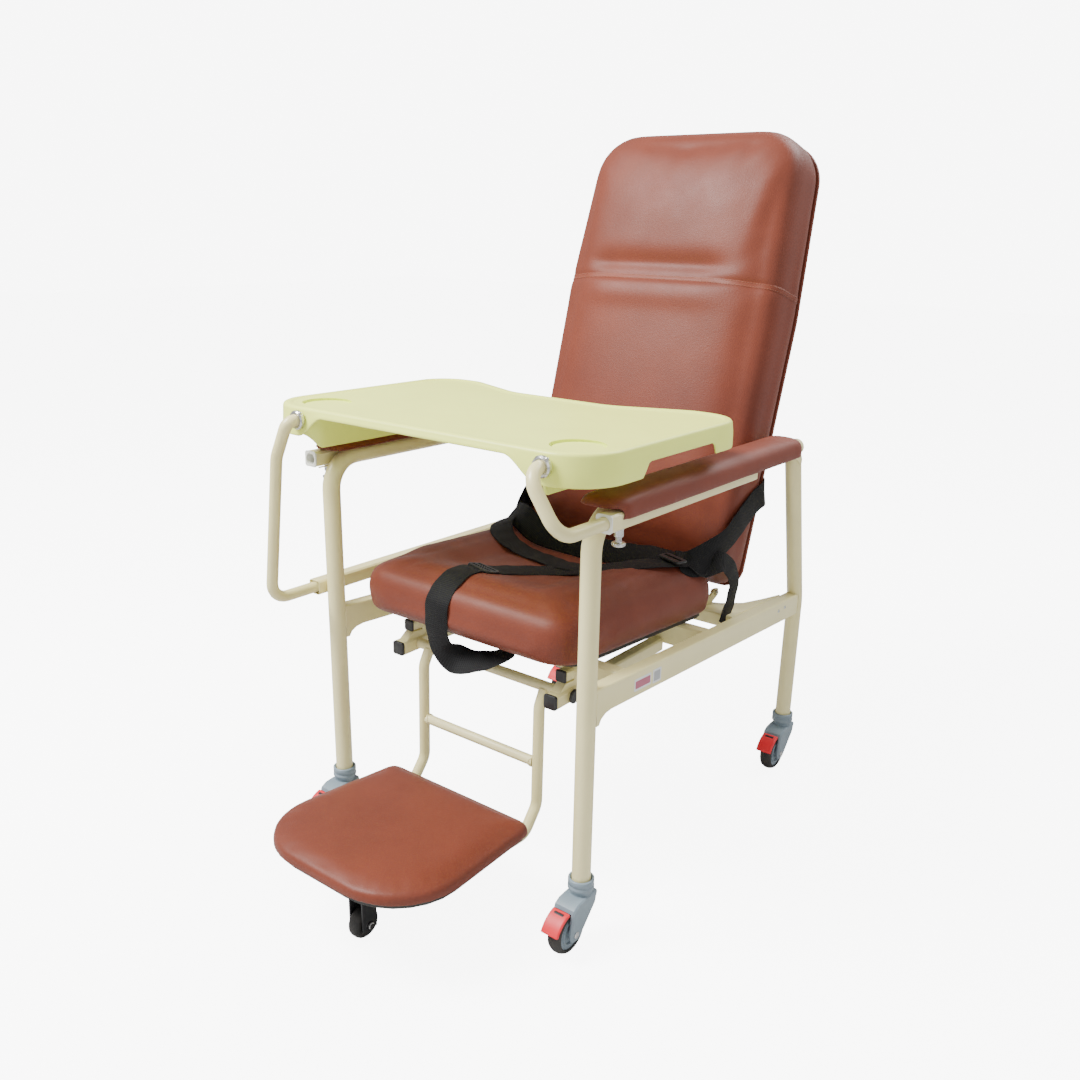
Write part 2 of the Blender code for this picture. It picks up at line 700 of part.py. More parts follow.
def foot_wheel(hinge):
    """A small fixed wheel in a bent U-bracket under the front of the footplate."""
    axle = (0, FOOT_WHEEL_Y, FOOT_WHEEL_R)
    board_low = FOOTPLATE_Z - FOOTPLATE_BOARD - 2 * GAP + (FOOTPLATE_REAR_Y + 0.198) * FOOTPLATE_PITCH
    bm = bmesh.new()
    loft(bm, box_loops((-0.016, -0.228, 0.018), (0.016, -0.198, board_low)))
    bracket = finish_object("foot_wheel_bracket", bm, BLACK_PLASTIC, hinge)
    slot = box_cutter("foot_wheel_slot", (-0.0128, -0.25, -0.01), (0.0128, -0.17, board_low - 0.004))
    boolean(bracket, slot)
    rim = 0.0105
    half = [(0.006, rim + 0.0115), (0.006, rim + 0.0005), (0.008, rim), (0.022, rim)]
    half.append((FOOT_WHEEL_R, rim - 0.004))
    profile = [(radius, -width) for radius, width in half] + half[::-1]
    turned_object("foot_wheel", profile, axle, "X", TYRE, axle, 28)
    start = (-0.03, axle[1], axle[2])
    end = (0.03, axle[1], axle[2])
    boolean(bracket, cylinder_cutter("foot_wheel_bore", start, end, 0.0064, 20))


# ---- seat, armrests and backrest ----
def seat():
    def place(u, v, h):
        return Vector((u, v, rail_top(v) + h))

    def oblong(half, front, rear):
        slim = half - SEAT_TAPER
        return [(-slim, front), (slim, front), (half, rear), (-half, rear)]

    corners = oblong(SEAT_HALF_W - 0.020, SEAT_FRONT_Y + 0.050, SEAT_REAR_Y - 0.010)
    board = rounded_outline(corners, [0.030, 0.030, 0.040, 0.040], 4)
    levels = [(0.001, GAP), (0, GAP + 0.001), (0, BOARD_THICK)]
    pad("seat_board", board, levels, place, BOARD)
    low = BOARD_THICK + GAP
    top = low + SEAT_THICK
    corners = oblong(SEAT_HALF_W, SEAT_FRONT_Y, SEAT_REAR_Y)
    outline = rounded_outline(corners, [0.060, 0.060, 0.050, 0.050], 5)
    levels = [(0.016, low), (0.006, low + 0.010), (0, low + 0.035), (0.003, top - 0.025)]
    levels += [(0.014, top - 0.008), (0.030, top), (0.046, top + 0.002)]
    pad("seat_cushion", outline, levels, place, VINYL_SKIN)


def armrest_pads():
    """Padded armrests: a slab on top of the rail, with a lip that hangs down outside the socket tube."""
    lift = TUBE_R + 0.0006
    for side, sign in SIDES:
        corners = [
            (ARM_PAD_INNER, ARM_PAD_FRONT_Y),
            (ARM_PAD_OUTER, ARM_PAD_FRONT_Y),
            (ARM_PAD_OUTER, ARM_PAD_REAR_Y),
            (ARM_PAD_INNER, ARM_PAD_REAR_Y),
        ]
        outline = rounded_outline(corners, [0.024, 0.034, 0.038, 0.024], 5)
        if sign < 0:
            outline = [(-u, v) for u, v in outline[::-1]]
        levels = [(0.003, -ARM_PAD_LIP), (0, 0.003 - ARM_PAD_LIP), (0, 0.002)]
        levels += [(0.004, 0.010), (0.012, 0.0145), (0.020, 0.0155)]
        arm_pad = pad(
            f"armrest_pad_{side}",
            outline,
            [(edge, h + lift) for edge, h in levels],
            lambda u, v, h: Vector((u, v, arm_z(v) + h)),
            VINYL_SKIN,
        )
        channel_x = (ARM_PAD_INNER - 0.02, SOCKET_X + SOCKET_SIZE / 2 + 0.0006)
        bm = bmesh.new()
        loops = []
        for y in (ARM_PAD_FRONT_Y - 0.05, ARM_PAD_REAR_Y + 0.05):
            low, high = arm_z(y) - 0.05, arm_z(y) + lift
            spots = [(channel_x[0], low), (channel_x[1], low), (channel_x[1], high), (channel_x[0], high)]
            loops.append([(sign * u, y, w) for u, w in spots])
        loft(bm, loops)
        boolean(arm_pad, cutter(f"armrest_channel_{side}", bm))


def back_place(u, v, h):
    """Backrest coordinates: u across, v up along the back from the hinge, h forward from its rear face."""
    up = Vector((0, math.sin(BACK_LEAN), math.cos(BACK_LEAN)))
    forward = Vector((0, -math.cos(BACK_LEAN), math.sin(BACK_LEAN)))
    return Vector((u, HINGE_Y, HINGE_Z)) + up * v + forward * (h - BACK_REAR)


def backrest():
    hinge = (0, HINGE_Y, HINGE_Z)
    half = BACK_HALF_W
    top_v = BACK_LOW + BACK_LENGTH
    widest = BACK_LENGTH * 0.62
    lower = [(-half + 0.006, BACK_LOW), (half - 0.006, BACK_LOW)]
    upper = [(half - 0.003, widest), (half - 0.020, top_v), (-half + 0.020, top_v), (-half + 0.003, widest)]
    outline = rounded_outline(lower + upper, [0.042, 0.042, 0.400, 0.088, 0.088, 0.400], 6)
    levels = [(0.001, 0), (0, 0.001), (0, BACK_BOARD - 0.001), (0.001, BACK_BOARD)]
    board = pad("backrest_board", inset(outline, 0.014), levels, back_place, BOARD, hinge)
    add_lever(board)
    low = BACK_BOARD + GAP
    top = low + BACK_THICK
    levels = [(0.008, low), (0, low + 0.012), (0, top - 0.036), (0.004, top - 0.018)]
    levels += [(0.014, top - 0.006), (0.030, top)]

    def place(u, v, h):
        # Towards the front, the lower edge rises to clear the seat cushion, the headrest swells and
        # the top edge drops.
        rise = 0.046 * (h / top) ** 2 * max(0.0, 1 - v / 0.160)
        swell = min((v - 0.480) / 0.120, (top_v - v) / 0.200, 1.0)
        drop = 0.010 * (h / top) ** 2 * max(0.0, 1 - (top_v - v) / 0.120)
        return back_place(u, v + rise - drop, h + HEADREST_PROUD * max(0.0, swell) * h / top)

    pad("backrest_cushion", outline, levels, place, VINYL_SKIN, hinge)


def lever_tip(length=LEVER_LENGTH):
    return HINGE_Y + length * math.sin(LEVER_ANGLE), HINGE_Z - length * math.cos(LEVER_ANGLE)


def add_lever(board):
    """Two steel plates that reach down from the board to the gas spring, on either side of its rod end."""
    tip_y, tip_z = lever_tip()
    for index, x in enumerate((-0.012, 0.009)):
        bm = bmesh.new()
        spots = [(0.070, 0.0015), (0.070, 0.0105), (BACK_LOW - 0.004, 0.0105), (0.004, BACK_REAR + 0.008)]
        outline = [(p.y, p.z) for p in (back_place(0, v, h) for v, h in spots)]
        outline += [
            (tip_y - 0.012, tip_z + 0.004),
            (tip_y - 0.006, tip_z - 0.008),
            (tip_y + 0.006, tip_z - 0.008),
            (tip_y + 0.010, tip_z + 0.004),
        ]
        low = back_place(0, 0.004, 0.0015)
        outline.append((low.y, low.z))
        loft(bm, [[(x + dx, v, w) for v, w in outline] for dx in (0, 0.003)])
        boolean(board, cutter(f"back_lever_{index}", bm), "UNION")


def gas_spring():
    tip_y, tip_z = lever_tip()
    pivot = Vector((0, SPRING_PIVOT_Y, SPRING_PIVOT_Z))
    tip = Vector((0, tip_y, tip_z))
    along = (tip - pivot).normalized()
    cylinder_end = pivot + along * 0.150
    bm = bmesh.new()
    points = [pivot - along * 0.006, pivot + along * 0.016, pivot + along * 0.018, cylinder_end]
    loops = sweep_loops(points[:2], circle_section(0.0065, 16), (1, 0, 0))
    loops += sweep_loops(points[2:], circle_section(SPRING_R, 16), (1, 0, 0))
    loft(bm, loops)
    cylinder = finish_object("gas_spring_cylinder", bm, BLACK_PLASTIC, pivot)
    ends = [pivot + along * 0.030, pivot + along * 0.200]
    boolean(cylinder, cylinder_cutter("gas_spring_bore", *ends, SPRING_ROD_R + 0.0012))
    bm = bmesh.new()
    points = [pivot + along * 0.125, tip - along * 0.016, tip - along * 0.015, tip - along * 0.001]
    loops = sweep_loops(points[:2], circle_section(SPRING_ROD_R, 16), (1, 0, 0))
    loops += sweep_loops(points[2:], circle_section(0.0062, 16), (1, 0, 0))
    loft(bm, loops)
    finish_object("gas_spring_rod", bm, CHROME, pivot)


# ---- tray ----
def tray_outline():
    """The tray seen from above, anticlockwise from its front right corner, with the hollow for the body."""
    front = TRAY_FRONT_Y
    rear = TRAY_REAR_Y
    half = TRAY_HALF_W
    front_edge = [(-half, front), (half, front)]
    hollow = [(0.235, rear), (0.105, rear - 0.056), (-0.105, rear - 0.056), (-0.235, rear)]
    corners = front_edge + [(half, rear)] + hollow + [(-half, rear)]
    radii = [0.075, 0.075, 0.060, 0.070, 0.110, 0.110, 0.070, 0.060]
    return rounded_outline(corners, radii, 6)


def tray_depth(x, y):
    """How far the apron hangs below the rim: deep at the front corners, shallow in the middle and behind."""
    shallow, side, deep = 0.014, 0.026, 0.048
    inward = abs(x)
    if y > 0.20 and inward > 0.25:
        return side + (0.018 if 0.245 < y < 0.312 and inward > TRAY_HALF_W - 0.010 else 0)
    if inward < 0.19 or y > 0.20:
        return shallow
    if y < 0.045:
        blend = min(1.0, (inward - 0.19) / 0.05)
        return shallow + (deep - shallow) * blend * blend * (3 - 2 * blend)
    return side


def denser(outline, longest=0.022):
    """The outline with its long edges divided."""
    points = []
    for i, (u, v) in enumerate(outline):
        u1, v1 = outline[(i + 1) % len(outline)]
        parts = max(1, math.ceil(math.hypot(u1 - u, v1 - v) / longest))
        points += [(u + (u1 - u) * k / parts, v + (v1 - v) * k / parts) for k in range(parts)]
    return points


def tray():
    outline = denser(tray_outline())
    depths = [tray_depth(u, v) for u, v in outline]

    def ring(edge, depth):
        loop = []
        for (u, v), lip in zip(inset(outline, edge), depths):
            drop = lip if depth is None else depth
            loop.append(Vector((u, v, TRAY_Z + TRAY_SLOPE * v - drop)))
        return loop

    bm = bmesh.new()
    loft(
        bm,
        [
            ring(0.008, 0.008),
            ring(0.000, 0.011),
            ring(-0.003, None),
            ring(-0.007, None),
            ring(0.000, 0.004),
            ring(0.004, 0),
            ring(0.014, 0),
            ring(0.018, 0.002),
        ],
    )
    top = finish_object("tray_top", bm, TRAY_PLASTIC, smooth_angle=40)
    for side, sign in SIDES:
        z = TRAY_Z + TRAY_SLOPE * CUP_Y
        start = (sign * CUP_X, CUP_Y, z - 0.0055)
        boolean(top, cylinder_cutter(f"cup_{side}", start, (sign * CUP_X, CUP_Y, z + 0.02), CUP_R, 32))
    tray_arms()


def tray_arms():
    """Bent tubes from the front apron into the sockets, each with a clamp collar against the tray."""
    start_y = TRAY_FRONT_Y - 0.0095
    for side, sign in SIDES:
        x = TRAY_CLAMP_X[side]
        if sign > 0:
            corners = [
                (x, start_y, CLAMP_Z),
                (x, -0.130, CLAMP_Z),
                (SOCKET_X, -0.120, socket_z(-0.120)),
                (SOCKET_X, 0.130, socket_z(0.130)),
            ]
            radii = [0.028, 0.034]
        else:
            corners = [
                (x, start_y, CLAMP_Z),
                (x, -0.1165, CLAMP_Z),
                (x - 0.030, -0.118, CLAMP_Z - 0.062),
                (LOWER_SOCKET_X, -0.118, lower_socket_z(-0.118)),
                (LOWER_SOCKET_X, 0.150, lower_socket_z(0.150)),
            ]
            radii = [0.0145, 0.050, 0.034]
        tube(f"tray_arm_{side}", fillet_path(corners, radii, 7), TRAY_ARM_R, across=(0, 0, 1))
        profile = [(0.0135, 0.0020), (0.0155, 0.0008), (0.0155, -0.0040), (0.0135, -0.0065)]
        bm = bmesh.new()
        loops = []
        for radius, along in profile:
            section = circle_section(radius, 20)
            loops.append([(x + u, start_y + along, CLAMP_Z + v) for u, v in section])
        loft(bm, loops)
        collar = finish_object(f"tray_clamp_{side}", bm, CHROME)
        ends = [(x, start_y + along, CLAMP_Z) for along in (0.030, -0.060)]
        boolean(collar, cylinder_cutter(f"tray_clamp_hole_{side}", *ends, TRAY_ARM_R + 0.0006))


# ---- harness ----
def ribbon(name, points, acrosses, width, material=WEBBING, origin=(0, 0, 0)):
    """A flat strap through the points; acrosses gives its width direction at each of them."""
    bm = bmesh.new()
    path = [Vector(p) for p in points]
    loops = []
    for point, across, tangent in zip(path, acrosses, tangents(path)):
        across = Vector(across)
        across = (across - tangent * across.dot(tangent)).normalized()
        up = tangent.cross(across) * (STRAP_THICK / 2)
        side = across * (width / 2)
        loops.append([point - side - up, point + side - up, point + side + up, point - side + up])
    loft(bm, loops)
    return finish_object(name, bm, material, origin)


def harness():
    top = BOARD_THICK + GAP + SEAT_THICK + 0.002 + 0.0025

    def on_seat(x, y, lift=0.0):
        return (x, y, rail_top(y) + top + lift)

    x = CROTCH_X
    crotch = [on_seat(x + 0.105, 0.236), on_seat(x + 0.035, 0.180), on_seat(x + 0.006, 0.122)]
    crotch += [on_seat(x, 0.070), on_seat(x, 0.038, -0.0005), on_seat(x, 0.010, -0.011)]
    crotch += [on_seat(x, -0.006, -0.032), on_seat(x, -0.009, -0.070), on_seat(x + 0.004, -0.006, -0.105)]
    crotch += [on_seat(x + 0.020, 0.000, -0.124)]
    acrosses = [(0.6, -0.8, 0), (0.78, -0.62, 0), (0.97, -0.24, 0)] + [(1, 0, 0)] * 7
    ribbon("crotch_strap", crotch, acrosses, STRAP_W)
    buckle = Vector(on_seat(x, 0.098, 0.0062))
    bm = bmesh.new()
    loft(bm, box_loops(buckle + Vector((-0.032, -0.016, -0.003)), buckle + Vector((0.032, 0.016, 0.003))))
    finish_object("belt_buckle", bm, BLACK_PLASTIC)
    reach = 0.210
    spots = [reach * i / 3 for i in range(-3, 4)]
    belt = [on_seat(u, 0.300 + 0.10 * (u / reach) ** 2, 0.0020) for u in spots]
    ribbon("lap_belt", belt, [(0, 1, 0)] * len(belt), STRAP_W)
    for side, sign in SIDES:
        outer = BACK_HALF_W + 0.0035
        spots = [(outer, 0.110, 0.105), (outer, 0.145, 0.065), (outer, 0.180, 0.020)]
        points = [back_place(sign * u, v, h) for u, v, h in spots]
        up = back_place(0, 1, 0) - back_place(0, 0, 0)
        ribbon(f"back_strap_{side}", points, [up] * 3, STRAP_W, origin=(0, HINGE_Y, HINGE_Z))


side_tubes()
seat_rails()
cross_members()
footrest_carriers()
arm_sockets()
lock_plungers()
casters()
footrest()
seat()
armrest_pads()
backrest()
gas_spring()
tray()
harness()
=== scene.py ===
"""Looks for the patient recliner chair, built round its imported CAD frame.

Metres, +Z up, the occupant faces -Y. Chair coordinates, taken by at(), measure y backwards from the front
legs, as the CAD source does.
"""

import json
from math import atan2, ceil, cos, exp, pi, radians, sin, sqrt, tan

import bmesh
import bpy
import numpy as np
from mathutils import Matrix, Vector
from mathutils.bvhtree import BVHTree


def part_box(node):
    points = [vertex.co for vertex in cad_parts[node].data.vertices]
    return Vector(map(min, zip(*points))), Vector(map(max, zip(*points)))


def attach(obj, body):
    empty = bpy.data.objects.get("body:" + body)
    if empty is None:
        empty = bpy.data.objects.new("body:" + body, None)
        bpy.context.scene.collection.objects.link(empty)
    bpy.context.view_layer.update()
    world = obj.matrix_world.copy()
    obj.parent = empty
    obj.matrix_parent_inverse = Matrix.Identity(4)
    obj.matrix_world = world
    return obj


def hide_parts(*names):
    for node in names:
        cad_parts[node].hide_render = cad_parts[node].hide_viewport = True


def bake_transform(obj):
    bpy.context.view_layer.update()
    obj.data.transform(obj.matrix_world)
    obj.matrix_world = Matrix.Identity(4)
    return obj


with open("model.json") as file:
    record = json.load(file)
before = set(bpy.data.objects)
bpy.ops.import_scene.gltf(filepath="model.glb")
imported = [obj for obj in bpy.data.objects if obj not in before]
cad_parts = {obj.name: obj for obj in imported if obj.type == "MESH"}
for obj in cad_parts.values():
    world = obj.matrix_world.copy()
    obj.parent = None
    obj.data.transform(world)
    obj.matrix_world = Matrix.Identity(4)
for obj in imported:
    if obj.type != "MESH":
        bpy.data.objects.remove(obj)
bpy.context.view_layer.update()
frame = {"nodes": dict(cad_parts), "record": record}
NODES = frame["nodes"]
BODY_OF = {
    node: body for body, nodes in frame["record"]["behaviour"]["bodies"].items() for node in nodes
}

# ---- dimensions taken from the CAD frame ----
TUBE_LOW, TUBE_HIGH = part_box("side_tube_left")
TUBE_R = (TUBE_HIGH.x - TUBE_LOW.x) / 2
LEG_X = (TUBE_HIGH.x + TUBE_LOW.x) / 2
FRONT_LEG_Y = TUBE_LOW.y + TUBE_R
BACK_LEAN = radians(17)
HINGE = Vector((0, 0.555 + FRONT_LEG_Y, 0.418))
BACK_SIN, BACK_COS = sin(BACK_LEAN), cos(BACK_LEAN)
BACK_UP = Vector((0, BACK_SIN, BACK_COS))
BACK_FORWARD = Vector((0, -BACK_COS, BACK_SIN))
BACK_REAR = 0.0228  # the backrest's rear face behind its hinge
BACK_HALF_W = 0.24
BACK_LOW_V = 0.012  # the lower end of the back, along it from the hinge
BACK_TOP_V = 0.878
SEAM_V = 0.572  # the headrest seam, along the back from the hinge
SEAM_DEPTH = 0.003
RAIL_SLOPE = -0.0711
RAIL_TOP_Z = 0.4375
REAR_LEG_Y = FRONT_LEG_Y + 0.738
SEAT_LOW = 0.0094  # underside of the seat cushion above the plane of the rails
BACK_LOW_H = 0.0124  # rear side of the backrest cushion, ahead of the back's rear face
TRAY_Z = 0.812  # top of the tray's rim above the front legs
TRAY_SLOPE = -0.014
BACKDROP = 8.0  # brightness of the floor and the background as the camera sees them
FLOOR_HALF = 14
FLOOR_GREY = 0.6
SIDES = (("left", 1), ("right", -1))
CORNERS = ("front_left", "front_right", "rear_left", "rear_right")


def at(x, y, z):
    """A point given in chair coordinates, with y measured from the front legs."""
    return Vector((x, y + FRONT_LEG_Y, z))


def rail_top(y):
    return RAIL_TOP_Z + RAIL_SLOPE * y


def back_place(u, v, h):
    """A point of the backrest: u across, v up from the hinge, h forward from its rear face."""
    return HINGE + Vector((u, 0, 0)) + BACK_UP * v + BACK_FORWARD * (h - BACK_REAR)


# ---- camera, floor and light ----
def add_camera():
    yaw, pitch, roll = radians(37.44), radians(17.46), radians(0.88)
    forward = Vector(
        (-sin(yaw) * cos(pitch), cos(yaw) * cos(pitch), -sin(pitch))
    )
    right = Vector((cos(yaw), sin(yaw), 0))
    up = right.cross(forward)
    right, up = right * cos(roll) + up * sin(roll), up * cos(roll) - right * sin(roll)
    data = bpy.data.cameras.new("camera")
    data.sensor_width = 36
    data.lens = 34.14
    data.shift_y = 0.0028
    data.clip_start = 0.05
    camera = bpy.data.objects.new("camera", data)
    camera.matrix_world = Matrix((right, up, -forward)).transposed().to_4x4()
    camera.location = at(1.0606, -1.1466, 1.1031)
    bpy.context.scene.collection.objects.link(camera)
    bpy.context.scene.camera = camera


def seen_by_camera(tree, plain, bright, output):
    """Shows the camera one shader, while the light sent elsewhere comes from the plain one."""
    path = add_node(tree, "LightPath")
    mix = add_node(tree, "MixShader")
    join(path.outputs["Is Camera Ray"], mix.inputs[0])
    join(plain.outputs[0], mix.inputs[1])
    join(bright.outputs[0], mix.inputs[2])
    join(mix.outputs[0], tree.nodes[output].inputs["Surface"])


def add_floor():
    """A pale floor that looks as bright as the backdrop, so that no horizon shows."""
    mesh = bpy.data.meshes.new("floor")
    corners = [(x * FLOOR_HALF, y * FLOOR_HALF, 0) for x, y in ((-1, -1), (1, -1), (1, 1), (-1, 1))]
    mesh.from_pydata(corners, [], [(0, 1, 2, 3)])
    floor = bpy.data.objects.new("floor", mesh)
    bpy.context.scene.collection.objects.link(floor)
    grey = (FLOOR_GREY, FLOOR_GREY, FLOOR_GREY, 1)
    material, tree, shader = new_material("floor", Base_Color=grey, Roughness=0.9)
    glow = add_node(tree, "Emission", Strength=BACKDROP - FLOOR_GREY)
    total = add_node(tree, "AddShader")
    join(shader.outputs[0], total.inputs[0])
    join(glow.outputs[0], total.inputs[1])
    seen_by_camera(tree, shader, total, "Material Output")
    mesh.materials.append(material)


def add_light(name, place, size, power):
    """A soft round light aimed at the middle of the chair."""
    data = bpy.data.lights.new(name, "AREA")
    data.shape = "DISK"
    data.size = size
    data.energy = power
    light = bpy.data.objects.new(name, data)
    light.location = place
    aim = Vector((0, 0, 0.6)) - Vector(place)
    light.rotation_euler = aim.to_track_quat("-Z", "Y").to_euler()
    bpy.context.scene.collection.objects.link(light)


def add_lights():
    add_light("key", (-1.3, -1.8, 3.2), 1.6, 280)
    add_light("fill", (2.8, -1.6, 1.8), 2.5, 20)
    add_light("rim", (0.8, 2.0, 3.0), 2.0, 84)
    world = bpy.data.worlds.new("studio")
    world.use_nodes = True
    tree = world.node_tree
    soft = tree.nodes["Background"]
    backdrop = add_node(tree, "Background")
    set_inputs(soft, Color=(1, 1, 1, 1), Strength=0.65)
    set_inputs(backdrop, Color=(1, 1, 1, 1), Strength=BACKDROP)
    seen_by_camera(tree, soft, backdrop, "World Output")
    bpy.context.scene.world = world


# ---- materials ----
def set_inputs(node, **values):
    """Sets a node's inputs, named with underscores for spaces."""
    for key, value in values.items():
        node.inputs[key.replace("_", " ")].default_value = value


def new_material(name, **values):
    """A material with the given values on its shader's own inputs."""
    material = bpy.data.materials.new(name)
    material.use_nodes = True
    shader = material.node_tree.nodes["Principled BSDF"]
    set_inputs(shader, **values)
    return material, material.node_tree, shader


def join(output, socket):
    """Links two nodes' sockets."""
    output.id_data.links.new(output, socket)


def add_node(tree, kind, **settings):
    """A shader node with its own settings and its inputs' values."""
    node = tree.nodes.new("ShaderNode" + kind)
    for key, value in settings.items():
        if hasattr(node, key):
            setattr(node, key, value)
        else:
            set_inputs(node, **{key: value})
    return node


def noise(tree, scale, detail=2.0, roughness=0.5):
    """Noise in the piece's own coordinates."""
    coordinates = add_node(tree, "TexCoord")
    node = add_node(tree, "TexNoise", Scale=scale, Detail=detail, Roughness=roughness)
    join(coordinates.outputs["Object"], node.inputs["Vector"])
    return node.outputs["Fac"]


def ramp(tree, source, low, high, start=0.3, end=0.7):
    """Maps a grey output to a colour between low and high."""
    node = add_node(tree, "ValToRGB")
    for element, position, color in zip(node.color_ramp.elements, (start, end), (low, high)):
        element.position = position
        element.color = (*color, 1)
    join(source, node.inputs["Fac"])
    return node.outputs["Color"]


def bump(tree, source, distance, strength):
    """Adds relief to the shader, on top of the relief it already has."""
    normal = tree.nodes["Principled BSDF"].inputs["Normal"]
    node = add_node(tree, "Bump", Distance=distance, Strength=strength)
    join(source, node.inputs["Height"])
    if normal.is_linked:
        join(normal.links[0].from_socket, node.inputs["Normal"])
    join(node.outputs["Normal"], normal)


def tints(base, *factors):
    return [tuple(channel * factor for channel in base) for factor in factors]


def clouded(name, tones, clouds, roughness, rough_clouds, grain, relief, **values):
    """A material whose tone and roughness drift in clouds of noise, over a fine grain.

    Clouds and grain are noise settings; without rough_clouds the roughness follows the tone's clouds.
    """
    material, tree, shader = new_material(name, **values)
    cloudy = noise(tree, *clouds)
    join(ramp(tree, cloudy, *tones), shader.inputs["Base Color"])
    uneven = noise(tree, *rough_clouds) if rough_clouds else cloudy
    low, high = roughness
    level = add_node(tree, "MapRange", To_Min=low, To_Max=high)
    join(uneven, level.inputs["Value"])
    join(level.outputs["Result"], shader.inputs["Roughness"])
    bump(tree, noise(tree, *grain), *relief)
    return material


def painted_steel():
    """Cream powder coat: fine orange peel, a slightly uneven tone and a paler cream on sharp convex edges."""
    tones = tints((0.8, 0.715, 0.34), 0.94, 1.04)
    peel = ((520, 2), (0.00012, 0.5))
    coat = {"Coat_Weight": 0.25, "Coat_Roughness": 0.25}
    material = clouded("cream_powder_coat", tones, (9, 3), (0.28, 0.44), (40, 2), *peel, **coat)
    tree = material.node_tree
    color = tree.nodes["Principled BSDF"].inputs["Base Color"]
    # The colour moves up to half way to a paler cream where Pointiness finds the surface sharply convex.
    geometry = add_node(tree, "NewGeometry")
    mask = add_node(tree, "MapRange", From_Min=0.52, From_Max=0.62, To_Max=0.5)
    join(geometry.outputs["Pointiness"], mask.inputs["Value"])
    mix = add_node(tree, "Mix", data_type="RGBA")
    join(mask.outputs["Result"], mix.inputs[0])
    join(color.links[0].from_socket, mix.inputs[6])
    mix.inputs[7].default_value = (0.85, 0.79, 0.55, 1)
    join(mix.outputs[2], color)
    return material


def vinyl(name, base):
    """Upholstery vinyl: pebbled grain about a millimetre across, with a soft satin gloss."""
    wrinkle = ((190, 3), (0.0005, 0.35))
    gloss = {"Sheen_Weight": 0.035, "Sheen_Roughness": 0.4, "Specular_IOR_Level": 0.3}
    tones = tints(base, 0.88, 1.1)
    material = clouded(name, tones, (7, 4, 0.6), (0.4, 0.6), (16, 3), *wrinkle, **gloss)
    tree = material.node_tree
    coordinates = add_node(tree, "TexCoord")
    cells = add_node(tree, "TexVoronoi", feature="SMOOTH_F1", Scale=680.0, Smoothness=0.6)
    join(coordinates.outputs["Object"], cells.inputs["Vector"])
    bump(tree, cells.outputs["Distance"], 0.0004, 0.45)
    return material


def moulded(name, base, roughness=(0.32, 0.46), grain=900, relief=(0.00008, 0.5), clouds=0.04):
    """Moulded plastic with a faint surface grain."""
    tones = tints(base, 1 - clouds, 1 + clouds)
    return clouded(name, tones, (14, 3), roughness, (60, 2), (grain, 2), relief)


def painted_board():
    """Black-stained plywood with a long faint grain."""
    material, tree, shader = new_material("black_board", Roughness=0.6)
    coordinates = add_node(tree, "TexCoord")
    stretch = add_node(tree, "Mapping", Scale=(90, 6, 6))
    grain = add_node(tree, "TexNoise", Scale=1.0, Detail=4.0)
    join(coordinates.outputs["Object"], stretch.inputs["Vector"])
    join(stretch.outputs["Vector"], grain.inputs["Vector"])
    color = ramp(tree, grain.outputs["Fac"], (0.012, 0.011, 0.01), (0.035, 0.031, 0.028))
    join(color, shader.inputs["Base Color"])
    bump(tree, grain.outputs["Fac"], 0.0003, 0.5)
    return material


def woven():
    """Flat nylon webbing: ribs across the strap and a fine twill, both from the strap's own UVs in metres."""
    gloss = {"Roughness": 0.62, "Specular_IOR_Level": 0.16, "Sheen_Weight": 0.03}
    material, tree, shader = new_material("black_webbing", **gloss)
    uv = add_node(tree, "UVMap", uv_map="strap")
    total = add_node(tree, "Math", operation="ADD")
    for index, (direction, scale, distortion) in enumerate((("Y", 90.0, 0.4), ("DIAGONAL", 170.0, 0.0))):
        wave = add_node(tree, "TexWave", wave_type="BANDS", bands_direction=direction)
        set_inputs(wave, Scale=scale, Distortion=distortion)
        join(uv.outputs["UV"], wave.inputs["Vector"])
        join(wave.outputs["Fac"], total.inputs[index])
    color = ramp(tree, total.outputs["Value"], (0.0016, 0.0016, 0.0018), (0.008, 0.008, 0.0085), 0.4, 1.7)
    join(color, shader.inputs["Base Color"])
    bump(tree, total.outputs["Value"], 0.0004, 0.8)
    return material


# ---- mesh helpers ----
BEAD_SIDES = 8
BEAD_RIPPLE = 0.0032
SADDLE_SIDES = 40


def plain_object(name, bm):
    """A bmesh's shape as an object without a material."""
    bmesh.ops.recalc_face_normals(bm, faces=bm.faces)
    mesh = bpy.data.meshes.new(name)
    bm.to_mesh(mesh)
    bm.free()
    obj = bpy.data.objects.new(name, mesh)
    bpy.context.scene.collection.objects.link(obj)
    return obj


def new_object(name, bm, look, body, smooth_angle=35):
    """A finished piece with its look's material, on the body it rides."""
    obj = plain_object(name, bm)
    obj.data.shade_smooth()
    obj.data.set_sharp_from_angle(angle=radians(smooth_angle))
    obj.data.materials.append(LOOKS[look])
    if body:
        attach(obj, body)
    SLOT_OF.get(look, look)
    return obj


def cad_mesh(node):
    """A CAD node's own shape as a joined-up bmesh without needless edges."""
    bm = bmesh.new()
    bm.from_mesh(NODES[node].data)
    bmesh.ops.remove_doubles(bm, verts=bm.verts, dist=2e-6)
    bmesh.ops.dissolve_limit(bm, angle_limit=radians(0.8), verts=bm.verts, edges=bm.edges)
    return bm


def carried_over(node, look, edge=0.0008):
    """A CAD node's own shape with softened edges and smooth shading, in place of the node."""
    obj = new_object(node + "_finish", cad_mesh(node), look, BODY_OF[node])
    modifier = obj.modifiers.new("soft_edges", "BEVEL")
    modifier.limit_method = "ANGLE"
    modifier.angle_limit = radians(34)
    modifier.width = edge
    modifier.segments = 2
    modifier.harden_normals = True
    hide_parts(node)


def centre_and_size(node):
    low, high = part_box(node)
    return (low + high) / 2, high - low


